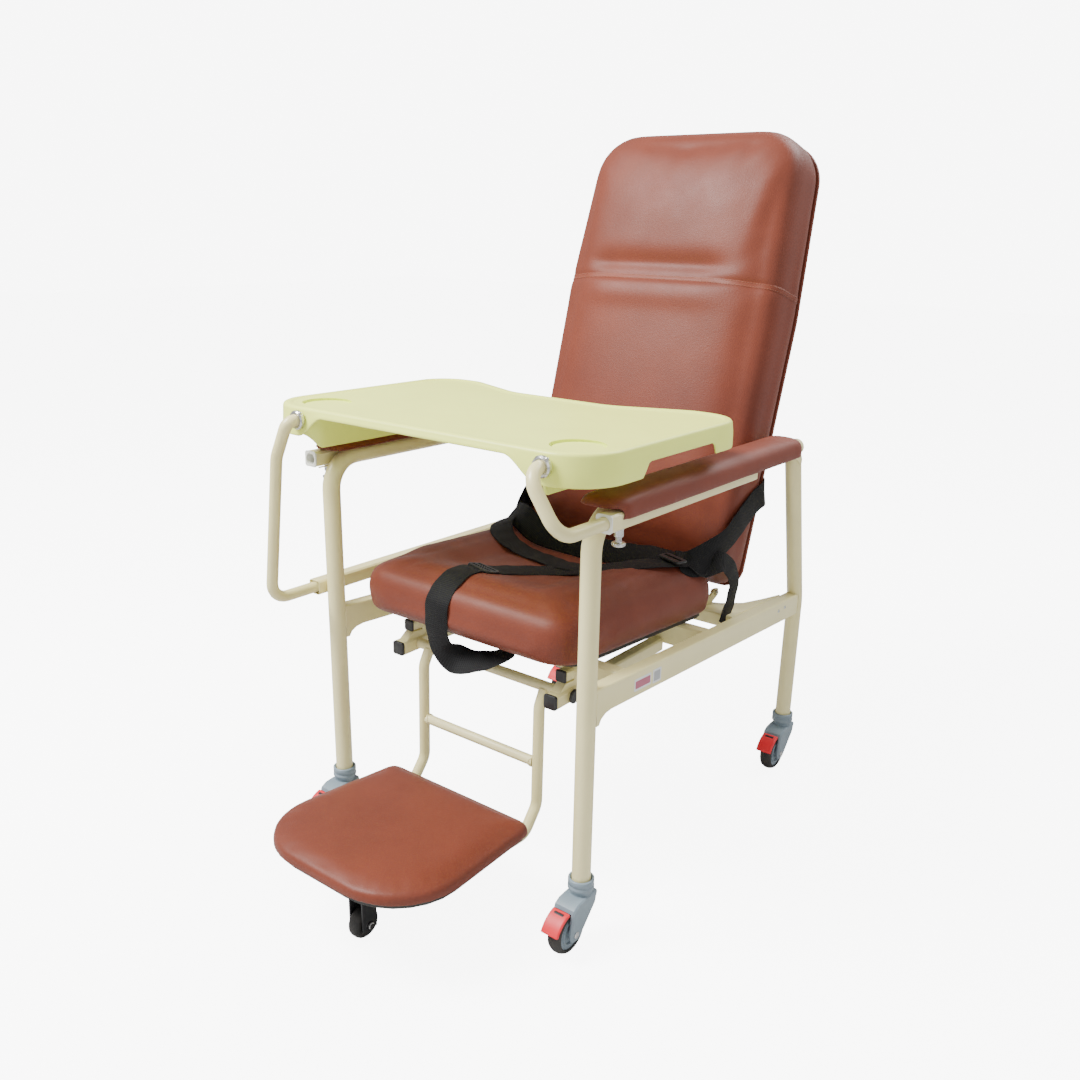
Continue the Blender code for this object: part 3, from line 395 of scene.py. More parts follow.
def apply_modifiers(obj):
    """Bakes an object's modifiers into its mesh."""
    bpy.context.view_layer.update()
    graph = bpy.context.evaluated_depsgraph_get()
    mesh = bpy.data.meshes.new_from_object(obj.evaluated_get(graph))
    before = obj.data
    obj.modifiers.clear()
    obj.data = mesh
    bpy.data.meshes.remove(before)


def carve(obj, bm):
    """Cuts a bmesh's solid out of an object."""
    cutter = plain_object("cutter", bm)
    modifier = obj.modifiers.new("carve", "BOOLEAN")
    modifier.operation = "DIFFERENCE"
    modifier.object = cutter
    modifier.solver = "EXACT"
    apply_modifiers(obj)
    bpy.data.objects.remove(cutter, do_unlink=True)


def loft(bm, loops, closed=False):
    """Skin through equal loops; unless the loops close on themselves, both ends get a cap."""
    rings = [[bm.verts.new(p) for p in loop] for loop in loops]
    count = len(rings[0])
    pairs = list(zip(rings, rings[1:])) + ([(rings[-1], rings[0])] if closed else [])
    for a, b in pairs:
        for i in range(count):
            j = (i + 1) % count
            bm.faces.new((a[i], a[j], b[j], b[i]))
    if not closed:
        bm.faces.new(rings[0][::-1])
        bm.faces.new(rings[-1])


def lofted(loops, closed=False):
    bm = bmesh.new()
    loft(bm, loops, closed)
    return bm


def circle(radius, sides):
    angles = [2 * pi * i / sides for i in range(sides)]
    return [(radius * cos(angle), radius * sin(angle)) for angle in angles]


def turned(profile, centre, axis="Z", sides=48, closed=False):
    """A solid of revolution about X or Z: profile lists (radius, height) along the axis."""
    turn = Matrix.Rotation(pi / 2, 3, "Y") if axis == "X" else Matrix.Identity(3)
    loops = [
        [Vector(centre) + turn @ Vector((u, v, height)) for u, v in circle(radius, sides)]
        for radius, height in profile
    ]
    return lofted(loops, closed)


def smooth_curve(points, per_span=8):
    """A Catmull-Rom curve through the points."""
    points = [Vector(p) for p in points]
    ends = [2 * points[0] - points[1]] + points + [2 * points[-1] - points[-2]]
    curve = []
    for a, b, c, d in zip(ends, ends[1:], ends[2:], ends[3:]):
        for i in range(per_span):
            t = i / per_span
            square = (2 * a - 5 * b + 4 * c - d) * t**2
            cube = (3 * b - a - 3 * c + d) * t**3
            curve.append(0.5 * (2 * b + (c - a) * t + square + cube))
    return curve + [points[-1]]


def tangent_at(points, i, closed=False):
    count = len(points)
    ahead = points[(i + 1) % count] if closed else points[min(i + 1, count - 1)]
    behind = points[i - 1] if closed else points[max(i - 1, 0)]
    return (ahead - behind).normalized()


def bead(name, points, body, radius=0.0019, closed=True):
    """A weld bead: a round seam whose thickness ripples along its length."""
    loops = []
    walked = 0.0
    for i, point in enumerate(points):
        if i:
            walked += (point - points[i - 1]).length
        tangent = tangent_at(points, i, closed)
        across = tangent.orthogonal().normalized()
        up = tangent.cross(across)
        thick = radius * (1 + 0.16 * sin(2 * pi * walked / BEAD_RIPPLE))
        loops.append([point + across * u + up * v for u, v in circle(thick, BEAD_SIDES)])
    if closed:
        # Each ring's first point is the one nearest the ring before, so that the skin doesn't twist.
        for before, i in zip(loops, range(1, len(loops))):
            start = min(range(BEAD_SIDES), key=lambda k: (loops[i][k] - before[0]).length)
            loops[i] = loops[i][start:] + loops[i][:start]
        start = min(range(BEAD_SIDES), key=lambda k: (loops[0][k] - loops[-1][0]).length)
        if start:
            loops[-1] = loops[-1][-start:] + loops[-1][:-start]
    new_object(name, lofted(loops, closed), "powder_coat", body)


def saddle(centre, along, radius, main, main_radius):
    """The joint line where a tube that runs along one way ends on a tube that runs along main."""
    along = Vector(along).normalized()
    main = Vector(main).normalized()
    side = along.cross(main).normalized()
    points = []
    for u, v in circle(radius, SADDLE_SIDES):
        dip = main_radius - sqrt(max(main_radius**2 - v**2, 0))
        points.append(Vector(centre) + main * u + side * v - along * dip)
    return points


# ---- cushions ----
HELD_BELOW = -0.45  # a point whose normal points this much away from the front belongs to the flat side
MOST_INWARD = 0.0015
SLIDE_KEPT = 0.3
CLOTH_FRAMES = 20
SMALL_SWELL = 0.005
LARGE_SWELL = 0.022
UP = Vector((0, 0, 1))


def smoothstep(low, high, value):
    t = min(max((value - low) / (high - low), 0.0), 1.0)
    return t * t * (3 - 2 * t)


def bell(value, centre, width):
    return exp(-(((value - centre) / width) ** 2))


def remeshed(name, node, voxel):
    """A CAD cushion as an even mesh of small faces."""
    obj = plain_object(name, cad_mesh(node))
    modifier = obj.modifiers.new("voxels", "REMESH")
    modifier.mode = "VOXEL"
    modifier.voxel_size = voxel
    apply_modifiers(obj)
    return obj


def relax(obj, rounds, front):
    """Smooths the skin, but keeps the flat side that faces away from the front as it is."""
    bm = bmesh.new()
    bm.from_mesh(obj.data)
    bm.normal_update()
    free = [v for v in bm.verts if v.normal.dot(front) > HELD_BELOW]
    for _ in range(rounds):
        bmesh.ops.smooth_vert(bm, verts=free, factor=0.5, use_axis_x=True, use_axis_y=True, use_axis_z=True)
    bm.to_mesh(obj.data)
    bm.free()


def vectors(collection, key):
    """A mesh's points or normals, one to a row."""
    flat = np.empty(len(collection) * 3, np.float32)
    collection.foreach_get(key, flat)
    return flat.reshape(-1, 3)


def set_points(mesh, points):
    mesh.vertices.foreach_set("co", np.asarray(points, np.float32).reshape(-1))
    mesh.update()


def moving_points(obj):
    """Gives out the skin's points to be moved in place, then puts them all back."""
    points = vectors(obj.data.vertices, "co")
    yield from points
    set_points(obj.data, points)


def inflate(obj, front, cap):
    """Blows the skin up as cloth, its flat side held: a point moves out by up to cap, and hardly inwards."""
    mesh = obj.data
    start = vectors(mesh.vertices, "co")
    outward = vectors(mesh.vertex_normals, "vector")
    flat_side = np.nonzero(outward @ np.array(front, np.float32) < HELD_BELOW)[0]
    held = obj.vertex_groups.new(name="held")
    held.add([int(i) for i in flat_side], 1.0, "REPLACE")
    cloth = obj.modifiers.new("cloth", "CLOTH")
    cloth.settings.quality = 4
    cloth.settings.vertex_group_mass = "held"
    cloth.settings.use_pressure = True
    cloth.settings.uniform_pressure_force = 4.0
    cloth.settings.effector_weights.gravity = 0
    cloth.settings.tension_stiffness = 20
    cloth.settings.compression_stiffness = 20
    cloth.settings.bending_stiffness = 2.0
    cloth.collision_settings.use_collision = False
    scene = bpy.context.scene
    for number in range(CLOTH_FRAMES):
        scene.frame_set(number + 1)
    blown = obj.evaluated_get(bpy.context.evaluated_depsgraph_get())
    moved = vectors(blown.to_mesh().vertices, "co") - start
    blown.to_mesh_clear()
    obj.modifiers.clear()
    obj.vertex_groups.clear()
    scene.frame_set(1)
    swell = np.sum(moved * outward, axis=1, keepdims=True)
    slide = moved - swell * outward
    out = cap * (1 - np.exp(-np.maximum(swell, 0) / cap))
    inward = np.clip(swell, -MOST_INWARD, 0)
    set_points(mesh, start + outward * (out + inward) + slide * SLIDE_KEPT)


def finish_cushion(obj, node):
    modifier = obj.modifiers.new("subdivision", "SUBSURF")
    modifier.levels = 1
    modifier.render_levels = 1
    apply_modifiers(obj)
    obj.data.shade_smooth()
    obj.data.materials.clear()
    obj.data.materials.append(LOOKS["vinyl"])
    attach(obj, BODY_OF[node])
    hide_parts(node)
    return obj


def seat_coordinates(point):
    """u across, v back from the front legs, h up from the sloping plane of the rails."""
    v = point[1] - FRONT_LEG_Y
    return point[0], v, point[2] - rail_top(v)


def back_coordinates(point):
    """u across, v up along the back from its hinge, h forward from its rear face."""
    y, z = point[1] - HINGE.y, point[2] - HINGE.z
    return point[0], y * BACK_SIN + z * BACK_COS, z * BACK_SIN - y * BACK_COS + BACK_REAR


def seat_cushion():
    """The seat: a dished middle between two soft bolsters, with a shallow fold beside each."""
    obj = remeshed("seat_upholstery", "seat_cushion", 0.006)
    relax(obj, 8, UP)
    for point in moving_points(obj):
        u, v, h = seat_coordinates(point)
        top = smoothstep(0.045, 0.085, h)
        back_from_edge = smoothstep(0.045, 0.15, v)
        dish = 0.022 * (1 - smoothstep(0.085, 0.16, abs(u)))
        bolster = 0.009 * bell(abs(u), 0.19, 0.03)
        fold = 0.0035 * bell(abs(u), 0.15, 0.007) * smoothstep(0.06, 0.12, v)
        point[2] += top * (back_from_edge * (bolster - dish) - fold)
    inflate(obj, UP, LARGE_SWELL)
    relax(obj, 4, UP)
    for point in moving_points(obj):
        point[2] += max(SEAT_LOW - seat_coordinates(point)[2], 0.0)
    return finish_cushion(obj, "seat_cushion")


def backrest_cushion():
    """The back: a headrest pillow with a valley under it, the sewn groove and a gentle crown lower down."""
    obj = remeshed("backrest_upholstery", "backrest_cushion", 0.0065)
    forward = np.array(BACK_FORWARD, np.float32)
    relax(obj, 8, BACK_FORWARD)
    for point in moving_points(obj):
        u, v, h = back_coordinates(point)
        front = smoothstep(0.05, 0.105, h)
        middle = 1 - smoothstep(0.1, 0.2, abs(u + 0.02))
        pillow = 0.007 * bell(v, 0.735, 0.085) * (1 - smoothstep(0.08, 0.21, abs(u)))
        crown = 0.005 * bell(v, 0.33, 0.18) * (1 - smoothstep(0.06, 0.22, abs(u)))
        valley = 0.013 * bell(v, 0.6, 0.021) * middle
        bulge = 0.005 * bell(v, 0.542, 0.02) * middle
        groove = SEAM_DEPTH * bell(v, SEAM_V, 0.006)
        point += forward * (front * (pillow + crown + bulge - valley) - groove * smoothstep(0.02, 0.05, h))
    inflate(obj, BACK_FORWARD, LARGE_SWELL)
    relax(obj, 7, BACK_FORWARD)
    for point in moving_points(obj):
        u, v, h = back_coordinates(point)
        groove = SEAM_DEPTH * bell(v, SEAM_V, 0.0065) * smoothstep(0.02, 0.05, h)
        point += forward * (max(BACK_LOW_H - h, 0.0) - groove)
    return finish_cushion(obj, "backrest_cushion")


def small_cushion(name, node):
    obj = remeshed(name, node, 0.004)
    relax(obj, 4, UP)
    inflate(obj, UP, SMALL_SWELL)
    relax(obj, 10, UP)
    finish_cushion(obj, node)


def backrest_edge():
    """The vinyl's edge behind the backrest cushion, folded round the rim of the board."""
    half, low, top = BACK_HALF_W, BACK_LOW_V, BACK_TOP_V
    widest = (top - low) * 0.62
    corners = [(-half + 0.006, low), (half - 0.006, low), (half - 0.003, widest), (half - 0.02, top)]
    corners += [(-half + 0.02, top), (-half + 0.003, widest)]
    outline = denser(fillet(corners, [0.042, 0.042, 0.4, 0.088, 0.088, 0.4], 12), 0.02)
    section = [(0.0132, 0.0012), (0.009, 0.0004), (0.005, 0.0016), (0.0026, 0.0048), (0.002, 0.0085)]
    section += [(0.0034, 0.0116), (0.008, 0.0121), (0.0132, 0.0121)]
    loops = [[back_place(p.x, p.y, h) for p in inset(outline, edge)] for edge, h in section]
    new_object("backrest_folded_edge", lofted(loops, True), "vinyl", "backrest", 50)


# ---- seams and stitches ----
STITCH_PITCH = 0.0052
STITCH_LENGTH = 0.0034
STITCH_THICK = 0.00042


def section_loop(obj, origin, normal):
    """The closed line in which a plane cuts a cushion, as points with their surface normals."""
    bm = bmesh.new()
    bm.from_mesh(obj.data)
    everything = bm.verts[:] + bm.edges[:] + bm.faces[:]
    cut = bmesh.ops.bisect_plane(bm, geom=everything, plane_co=origin, plane_no=normal)
    edges = [item for item in cut["geom_cut"] if isinstance(item, bmesh.types.BMEdge)]
    links = {}
    for edge in edges:
        a, b = edge.verts
        links.setdefault(a, []).append(b)
        links.setdefault(b, []).append(a)
    start = next(iter(links))
    walk = [start]
    previous, current = None, start
    while True:
        ahead = [v for v in links[current] if v is not previous and v is not current]
        if not ahead or ahead[0] is start:
            break
        previous, current = current, ahead[0]
        walk.append(current)
    line = [(v.co.copy(), v.normal.copy()) for v in walk]
    bm.free()
    return line


def evened(line, spacing):
    """The closed line resampled at an even spacing."""
    lengths = [0.0]
    closed = line + [line[0]]
    for (a, _), (b, _) in zip(closed, closed[1:]):
        lengths.append(lengths[-1] + (b - a).length)
    count = max(8, round(lengths[-1] / spacing))
    result = []
    k = 0
    for i in range(count):
        target = lengths[-1] * i / count
        while lengths[k + 1] < target:
            k += 1
        share = (target - lengths[k]) / max(lengths[k + 1] - lengths[k], 1e-9)
        point = closed[k][0].lerp(closed[k + 1][0], share)
        normal = closed[k][1].lerp(closed[k + 1][1], share).normalized()
        result.append((point, normal))
    return result


def stitches(name, lines):
    """Short raised threads along each line of (point, normal)."""
    bm = bmesh.new()
    for line in lines:
        spots = evened(line, STITCH_PITCH)
        for i, (point, normal) in enumerate(spots):
            along = (spots[(i + 1) % len(spots)][0] - point).normalized()
            side = along.cross(normal).normalized()
            loops = []
            for step, size in ((-0.5, 0.45), (-0.3, 1.0), (0.3, 1.0), (0.5, 0.45)):
                height = STITCH_THICK * (0.9 - 2.6 * step * step)
                middle = point + along * (step * STITCH_LENGTH) + normal * height
                round_section = circle(STITCH_THICK, 6)
                loops.append([middle + side * u * size + normal * v * size for u, v in round_section])
            loft(bm, loops)
    new_object(name, bm, "thread", "backrest", 60)


def seam_band(cushion):
    """The sewn band round the backrest at the headrest seam: a flat welt with a row of stitches each side."""
    spots = evened(section_loop(cushion, back_place(0, SEAM_V, 0.05), BACK_UP), 0.004)
    tree = surface_of(cushion)
    section = ((-0.0062, -0.001), (-0.0052, 0.0007), (0, 0.0011), (0.0052, 0.0007), (0.0062, -0.001))
    band = []
    for point, normal in spots:
        ring = []
        for across, lift in section:
            base = point + BACK_UP * across
            near = tree.find_nearest(base)[0] or base
            ring.append(near + normal * lift)
        # The band's hidden side dips into the cushion.
        middle = ring[0].lerp(ring[-1], 0.5)
        ring.append(middle - (ring[2] - middle) * 0.6)
        band.append(ring)
    new_object("headrest_seam_band", lofted(band, True), "seam_vinyl", "backrest", 60)
    raised = [
        [(tree.find_nearest(point + BACK_UP * across)[0] + normal * 0.001, normal) for point, normal in spots]
        for across in (-0.0034, 0.0034)
    ]
    stitches("headrest_seam_stitches", raised)


# ---- straps ----
STRAP_W = 0.05
STRAP_THICK = 0.0018
RIPPLE_PACE = 170  # radians of a strap's edge ripple to the metre


def strap(name, route, acrosses, body, width=STRAP_W, ripple=0.0006):
    """A flat webbing strap along a curve; its UV map "strap" runs in metres across and along it."""
    path = smooth_curve(route)
    sides = smooth_curve([Vector(a).normalized() for a in acrosses])
    bm = bmesh.new()
    uv_layer = bm.loops.layers.uv.new("strap")
    half, thick = width / 2, STRAP_THICK / 2
    section = [
        (-half, -thick * 0.4), (-half + 0.0012, -thick), (0, -thick), (half - 0.0012, -thick),
        (half, -thick * 0.4), (half, thick * 0.4), (half - 0.0012, thick), (0, thick),
        (-half + 0.0012, thick), (-half, thick * 0.4),
    ]
    rings = []
    walked = 0.0
    for i, (point, across) in enumerate(zip(path, sides)):
        if i:
            walked += (point - path[i - 1]).length
        tangent = tangent_at(path, i)
        across = (across - tangent * across.dot(tangent)).normalized()
        up = across.cross(tangent)
        wave = ripple * sin(walked * RIPPLE_PACE)
        ring = [
            (bm.verts.new(point + across * u + up * (v + wave * (abs(u) / half) ** 2)), (u, walked))
            for u, v in section
        ]
        rings.append(ring)
    count = len(section)

    def add_face(corners):
        face = bm.faces.new([vertex for vertex, _ in corners])
        for loop, (_, uv) in zip(face.loops, corners):
            loop[uv_layer].uv = uv

    for a, b in zip(rings, rings[1:]):
        for i in range(count):
            j = (i + 1) % count
            add_face((a[i], a[j], b[j], b[i]))
    add_face(rings[0][::-1])
    add_face(rings[-1])
    return new_object(name, bm, "webbing", body, 50)


def laid(surface, x, y, lift=0.0024):
    """The point where a strap at (x, y), in chair coordinates, lies on a cushion."""
    start = at(x, y, 1.2)
    hit = surface.ray_cast(start, Vector((0, 0, -1)))[0]
    return hit + Vector((0, 0, lift))


def surface_of(cushion):
    return BVHTree.FromObject(cushion, bpy.context.evaluated_depsgraph_get())


def slider(name, centre, along, across, normal, body, width=0.06, length=0.03, slots=2):
    """A moulded slide buckle: a rounded plate with slots across it for the webbing."""
    along, across, normal = (Vector(v).normalized() for v in (along, across, normal))
    centre = Vector(centre)

    def place(u, v, h):
        return centre + across * u + along * v + normal * h

    thick = 0.0044
    corners = rounded_rectangle(width, length, 0.006, 5)
    loops = []
    for edge, h in ((0.001, 0), (0, 0.0012), (0, thick - 0.0016), (0.0014, thick)):
        wide, long = 1 - 2 * edge / width, 1 - 2 * edge / length
        loops.append([place(u * wide, v * long, h) for u, v in corners])
    plate = new_object(name, lofted(loops), "black_plastic", body)
    hole = rounded_rectangle(width - 0.009, 0.0055, 0.0022, 4)
    for i in range(slots):
        offset = (i - (slots - 1) / 2) * 0.0115
        carve(plate, lofted([[place(u, v + offset, h) for u, v in hole] for h in (-0.004, thick + 0.004)]))
    return plate


def rounded_rectangle(width, height, radius, steps):
    points = []
    for quarter, (x, y) in enumerate(((1, 1), (-1, 1), (-1, -1), (1, -1))):
        centre_x, centre_y = x * (width / 2 - radius), y * (height / 2 - radius)
        for i in range(steps + 1):
            angle = pi / 2 * (quarter + i / steps)
            points.append((centre_x + radius * cos(angle), centre_y + radius * sin(angle)))
    return points


def harness(seat, back):
    """The lap harness: a crotch strap with its slider, a lap belt with its clip, and two side straps."""
    top = surface_of(seat)
    x = -0.032
    spots = [(0.196, 0.402), (0.168, 0.33), (0.118, 0.268), (0.052, 0.222), (0.006, 0.172), (-0.022, 0.122)]
    spots += [(x, 0.085), (x, 0.052), (x, 0.028)]
    route = [laid(top, *spot) for spot in spots]
    acrosses = [(0.95, -0.3, 0), (0.85, -0.5, 0), (0.66, -0.75, 0), (0.62, -0.78, 0), (0.8, -0.6, 0)]
    acrosses += [(0.95, -0.3, 0), (1, -0.05, 0), (1, 0, 0), (1, 0, 0)]
    low = seat_front_profile(top, x)
    route += low
    acrosses += [(1, 0, 0)] * len(low)
    # Below the cushion the strap turns and runs off to the left in a shallow loop.
    steps = [(0.001, 0.002, -0.022), (0.008, 0.006, -0.042), (0.024, 0.013, -0.056), (0.048, 0.022, -0.06)]
    steps += [(0.078, 0.033, -0.054), (0.106, 0.045, -0.042), (0.124, 0.056, -0.031)]
    route += [low[-1] + Vector(step) for step in steps]
    acrosses += [(1, 0, 0), (0.95, 0.15, 0.2), (0.7, 0.5, 0.45), (0.3, 0.8, 0.45), (0, 0.9, 0.4)]
    acrosses += [(-0.15, 0.93, 0.3), (-0.25, 0.95, 0.15)]
    crotch = strap("crotch_webbing", route, acrosses, "frame")
    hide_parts("crotch_strap")
    spot = laid(top, -0.024, 0.112, 0.0026)
    ahead = laid(top, x, 0.08, 0.0026)
    along = (spot - ahead).normalized()
    buckle = slider("belt_slider", spot, along, (1, -0.25, 0), Vector((1, -0.25, 0)).cross(along), "frame")
    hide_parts("belt_buckle")

    # The lap belt leans back, half on edge, from the fold on the right to the clip on the left.
    spots = [(-0.196, 0.402, 0.026), (-0.15, 0.372, 0.028), (-0.092, 0.352, 0.026), (-0.02, 0.348, 0.022)]
    spots += [(0.05, 0.352, 0.019), (0.108, 0.364, 0.016), (0.152, 0.378, 0.011), (0.192, 0.398, 0.007)]
    route = [laid(top, x1, y1, lift) for x1, y1, lift in spots]
    acrosses = [(0.3, 0.6, 0.7), (0.3, 0.6, 0.8), (0.1, 0.6, 0.8), (0.0, 0.65, 0.75), (-0.1, 0.75, 0.65)]
    acrosses += [(-0.2, 0.85, 0.5), (-0.3, 0.9, 0.3), (-0.4, 0.9, 0.1)]
    belt = strap("lap_webbing", route, acrosses, "frame")
    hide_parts("lap_belt")

    # A second length lies folded beside the seat's right edge and runs in under the crotch strap.
    spots = [(-0.205, 0.44, 0.02), (-0.192, 0.385, 0.016), (-0.166, 0.33, 0.008), (-0.122, 0.292, 0.0055)]
    spots += [(-0.062, 0.275, 0.005), (-0.004, 0.262, 0.005), (0.052, 0.25, 0.0058), (0.1, 0.268, 0.006)]
    route = [laid(top, x1, y1, lift) for x1, y1, lift in spots]
    acrosses = [(0.8, 0.2, 0.5), (0.8, 0.4, 0.4), (0.7, 0.7, 0.2), (0.45, 0.9, 0), (0.15, 1, 0), (0.2, 1, 0)]
    acrosses += [(0, 1, 0), (-0.45, 0.9, 0)]
    strap("folded_webbing", route, acrosses, "frame", 0.044)

    # The clip where the belts meet, and the loop that hangs down beside the seat's rear left corner.
    clip = laid(top, 0.19, 0.382, 0.008)
    slider("side_clip", clip, (0.35, 0.93, 0), (0.93, -0.35, 0), (0, 0, 1), "frame", 0.056, 0.026, 1)
    route = [laid(top, 0.202, 0.405, 0.005), laid(top, 0.222, 0.432, 0.006), at(0.2425, 0.468, 0.512)]
    route += [at(0.2485, 0.497, 0.492), at(0.249, 0.513, 0.462), at(0.249, 0.505, 0.43)]
    route += [at(0.2485, 0.488, 0.4), at(0.248, 0.48, 0.388)]
    acrosses = [(0.8, -0.6, 0), (0.7, -0.6, -0.3), (0.3, -0.6, -0.7), (0.1, -0.65, -0.75), (0, -1, -0.1)]
    acrosses += [(0, -0.95, 0.3), (0, -0.85, 0.5), (0, -0.85, 0.5)]
    strap("corner_loop_webbing", route, acrosses, "frame", 0.038)

    back_tree = surface_of(back)
    for side, sign in SIDES:
        side_strap(side, sign, top, back_tree)


def side_strap(side, sign, top, back_tree):
    """A wide strap from the seat's rear corner, along the side of the backrest and round behind it."""
    up = (back_place(0, 1, 0) - back_place(0, 0, 0)).normalized()
    forward = (back_place(0, 0, 1) - back_place(0, 0, 0)).normalized()
    slant = up * 0.65 + forward * 0.76

    def beside(v, h):
        """A point on the strap's line where it clears the widest part of the cushion across its width."""
        places = [back_place(sign * 0.34, v, h) + slant * off for off in (-0.022, 0, 0.022)]
        hits = [back_tree.ray_cast(place, Vector((-sign, 0, 0)))[0] for place in places]
        reach = max([abs(hit.x) for hit in hits if hit] + [BACK_HALF_W - 0.004])
        spot = back_place(0, v, h)
        return Vector((sign * (reach + 0.0024), spot.y, spot.z))

    route = [laid(top, sign * 0.194, 0.392, 0.008), laid(top, sign * 0.216, 0.42, 0.016)]
    route.append(beside(0.1, 0.118) + Vector((-sign * 0.006, 0, 0)))
    route += [beside(0.132, 0.09), beside(0.164, 0.058), beside(0.19, 0.028)]
    route.append(back_place(sign * 0.236, 0.208, -0.003))
    route.append(back_place(sign * 0.2, 0.216, -0.006))
    route.append(back_place(sign * 0.13, 0.218, -0.004))
    acrosses = [(-sign * 0.5, 0.75, 0.3), (-sign * 0.35, 0.4, 0.8), slant, slant, slant, slant]
    acrosses += [slant + up * 0.6, up, up]
    web = strap(f"back_webbing_{side}", route, acrosses, None, 0.052, 0.0003)
    tuple(route[1])
    tuple(route[3])
    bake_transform(web)
    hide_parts(f"back_strap_{side}")


def seat_front_profile(tree, x):
    """Points down the seat's front, a strap's lift ahead of the cushion."""
    points = []
    for z in (0.506, 0.484, 0.464):
        hit, normal = tree.ray_cast(at(x, -0.2, z), Vector((0, 1, 0)))[:2]
        if hit is None:
            hit, normal = points[-1] + Vector((0, 0.003, -0.02)), Vector((0, -1, 0))
        points.append(hit + normal * 0.0026)
    return points


# ---- tray ----
def fillet(corners, radii, steps):
    """A closed outline with its corners rounded off, as (u, v) pairs."""
    count = len(corners)
    points = []
    for i, corner in enumerate(corners):
        corner = Vector(corner)
        a = (Vector(corners[i - 1]) - corner).normalized()
        b = (Vector(corners[(i + 1) % count]) - corner).normalized()
        half = a.angle(b) / 2
        centre = corner + (a + b).normalized() * (radii[i] / sin(half))
        start = corner + a * (radii[i] / tan(half)) - centre
        end = corner + b * (radii[i] / tan(half)) - centre
        turn = atan2(start.x * end.y - start.y * end.x, start.dot(end))
        for k in range(steps + 1):
            points.append(centre + Matrix.Rotation(turn * k / steps, 2) @ start)
    return points


def denser(outline, longest):
    points = []
    for i, point in enumerate(outline):
        ahead = outline[(i + 1) % len(outline)]
        parts = max(1, ceil((ahead - point).length / longest))
        points += [point.lerp(ahead, k / parts) for k in range(parts)]
    return points


def inset(outline, distance):
    moved = []
    count = len(outline)
    for i, point in enumerate(outline):
        along = outline[(i + 1) % count] - outline[i - 1]
        moved.append(point + Vector((-along.y, along.x)).normalized() * distance)
    return moved


def tray_depth(point):
    """How far the apron hangs: deep at the front corners, less beside the armrests, a foot at the rear."""
    out, y = abs(point.x), point.y
    corner = smoothstep(0.185, 0.245, out)
    deep = 0.048 * corner + 0.014 * (1 - corner)
    side = 0.014 + 0.012 * smoothstep(0.19, 0.26, out)
    foot = smoothstep(0.24, 0.25, y) * (1 - smoothstep(0.308, 0.318, y)) * smoothstep(0.309, 0.318, out)
    rear = smoothstep(0.036, 0.056, y)
    return deep * (1 - rear) + (side + 0.018 * foot) * rear


def tray():
    half, front, rear = 0.326, -0.085, 0.344
    corners = [(-half, front), (half, front), (half, rear), (0.235, rear), (0.105, rear - 0.056)]
    corners += [(-0.105, rear - 0.056), (-0.235, rear), (-half, rear)]
    radii = [0.075, 0.075, 0.06, 0.07, 0.11, 0.11, 0.07, 0.06]
    outline = denser(fillet(corners, radii, 14), 0.007)
    depths = [tray_depth(point) for point in outline]

    def ring(edge, depth, lip=0.0):
        loop = []
        for point, apron in zip(inset(outline, edge), depths):
            drop = apron * lip + depth
            loop.append(at(point.x, point.y, TRAY_Z + TRAY_SLOPE * point.y - drop))
        return loop

    # From the middle of the underside, down the inside of the apron, round its lip and up to the rim.
    rings = [ring(0.034, 0.0112), ring(0.012, 0.0114), ring(0.003, 0.012), ring(-0.0005, 0.0145)]
    rings += [ring(-0.0022, 0, 0.6), ring(-0.0032, -0.0012, 1), ring(-0.004, -0.0002, 1), ring(-0.0054, 0, 1)]
    rings += [ring(-0.0066, -0.0006, 1), ring(-0.007, -0.002, 1), ring(-0.0064, 0, 0.6)]
    for i in range(7):
        angle = radians(90 * i / 6)
        rings.append(ring(0.001 - 0.006 * cos(angle), 0.0062 - 0.0062 * sin(angle)))
    rings += [ring(0.007, 0.0), ring(0.0085, 0.0003), ring(0.0105, 0.0018), ring(0.0125, 0.0022)]
    rings += [ring(0.022, 0.0023)]
    obj = new_object("tray_shell", lofted(rings), "tray_plastic", "tray", 50)
    # Each cup place is a shallow dish with a narrow groove round its floor.
    for sign in (1, -1):
        centre = at(sign * 0.258, -0.015, TRAY_Z + TRAY_SLOPE * -0.015)
        profile = [(0.0005, -0.006), (0.0368, -0.006), (0.0376, -0.0068), (0.0378, -0.0098)]
        profile += [(0.0418, -0.0098), (0.0418, -0.005), (0.0404, -0.0034), (0.0404, -0.0026)]
        profile += [(0.0412, -0.0014), (0.0424, 0.004), (0.0005, 0.004)]
        carve(obj, turned(profile, centre, "Z", 72))
    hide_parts("tray_top")


def tray_ribs():
    """The deep wall under each side of the tray that keeps it between the armrests."""
    for side, sign in SIDES:
        plan = [(0.264, -0.078), (0.252, -0.0765), (0.241, -0.069), (0.2345, -0.055), (0.2325, -0.036)]
        plan += [(0.2325, 0.01), (0.2325, 0.075), (0.2325, 0.14), (0.2325, 0.2)]
        path = smooth_curve([(u, v, 0) for u, v in plan], 6)
        loops = []
        for i, point in enumerate(path):
            tangent = tangent_at(path, i)
            out = Vector((tangent.y, -tangent.x, 0)) * 0.0022
            deck = TRAY_Z + TRAY_SLOPE * point.y - 0.0106
            depth = 0.036 + 0.025 * smoothstep(-0.08, -0.05, point.y)
            depth -= 0.046 * smoothstep(0.15, 0.2, point.y)
            low = deck - depth
            corners = [(out, deck), (out, low + 0.002), (out * 0.4, low), (-out * 0.4, low)]
            corners += [(-out, low + 0.002), (-out, deck)]
            loops.append([at(sign * (point.x + off.x), point.y + off.y, z) for off, z in corners])
        new_object(f"tray_rib_{side}", lofted(loops), "tray_plastic", "tray", 50)


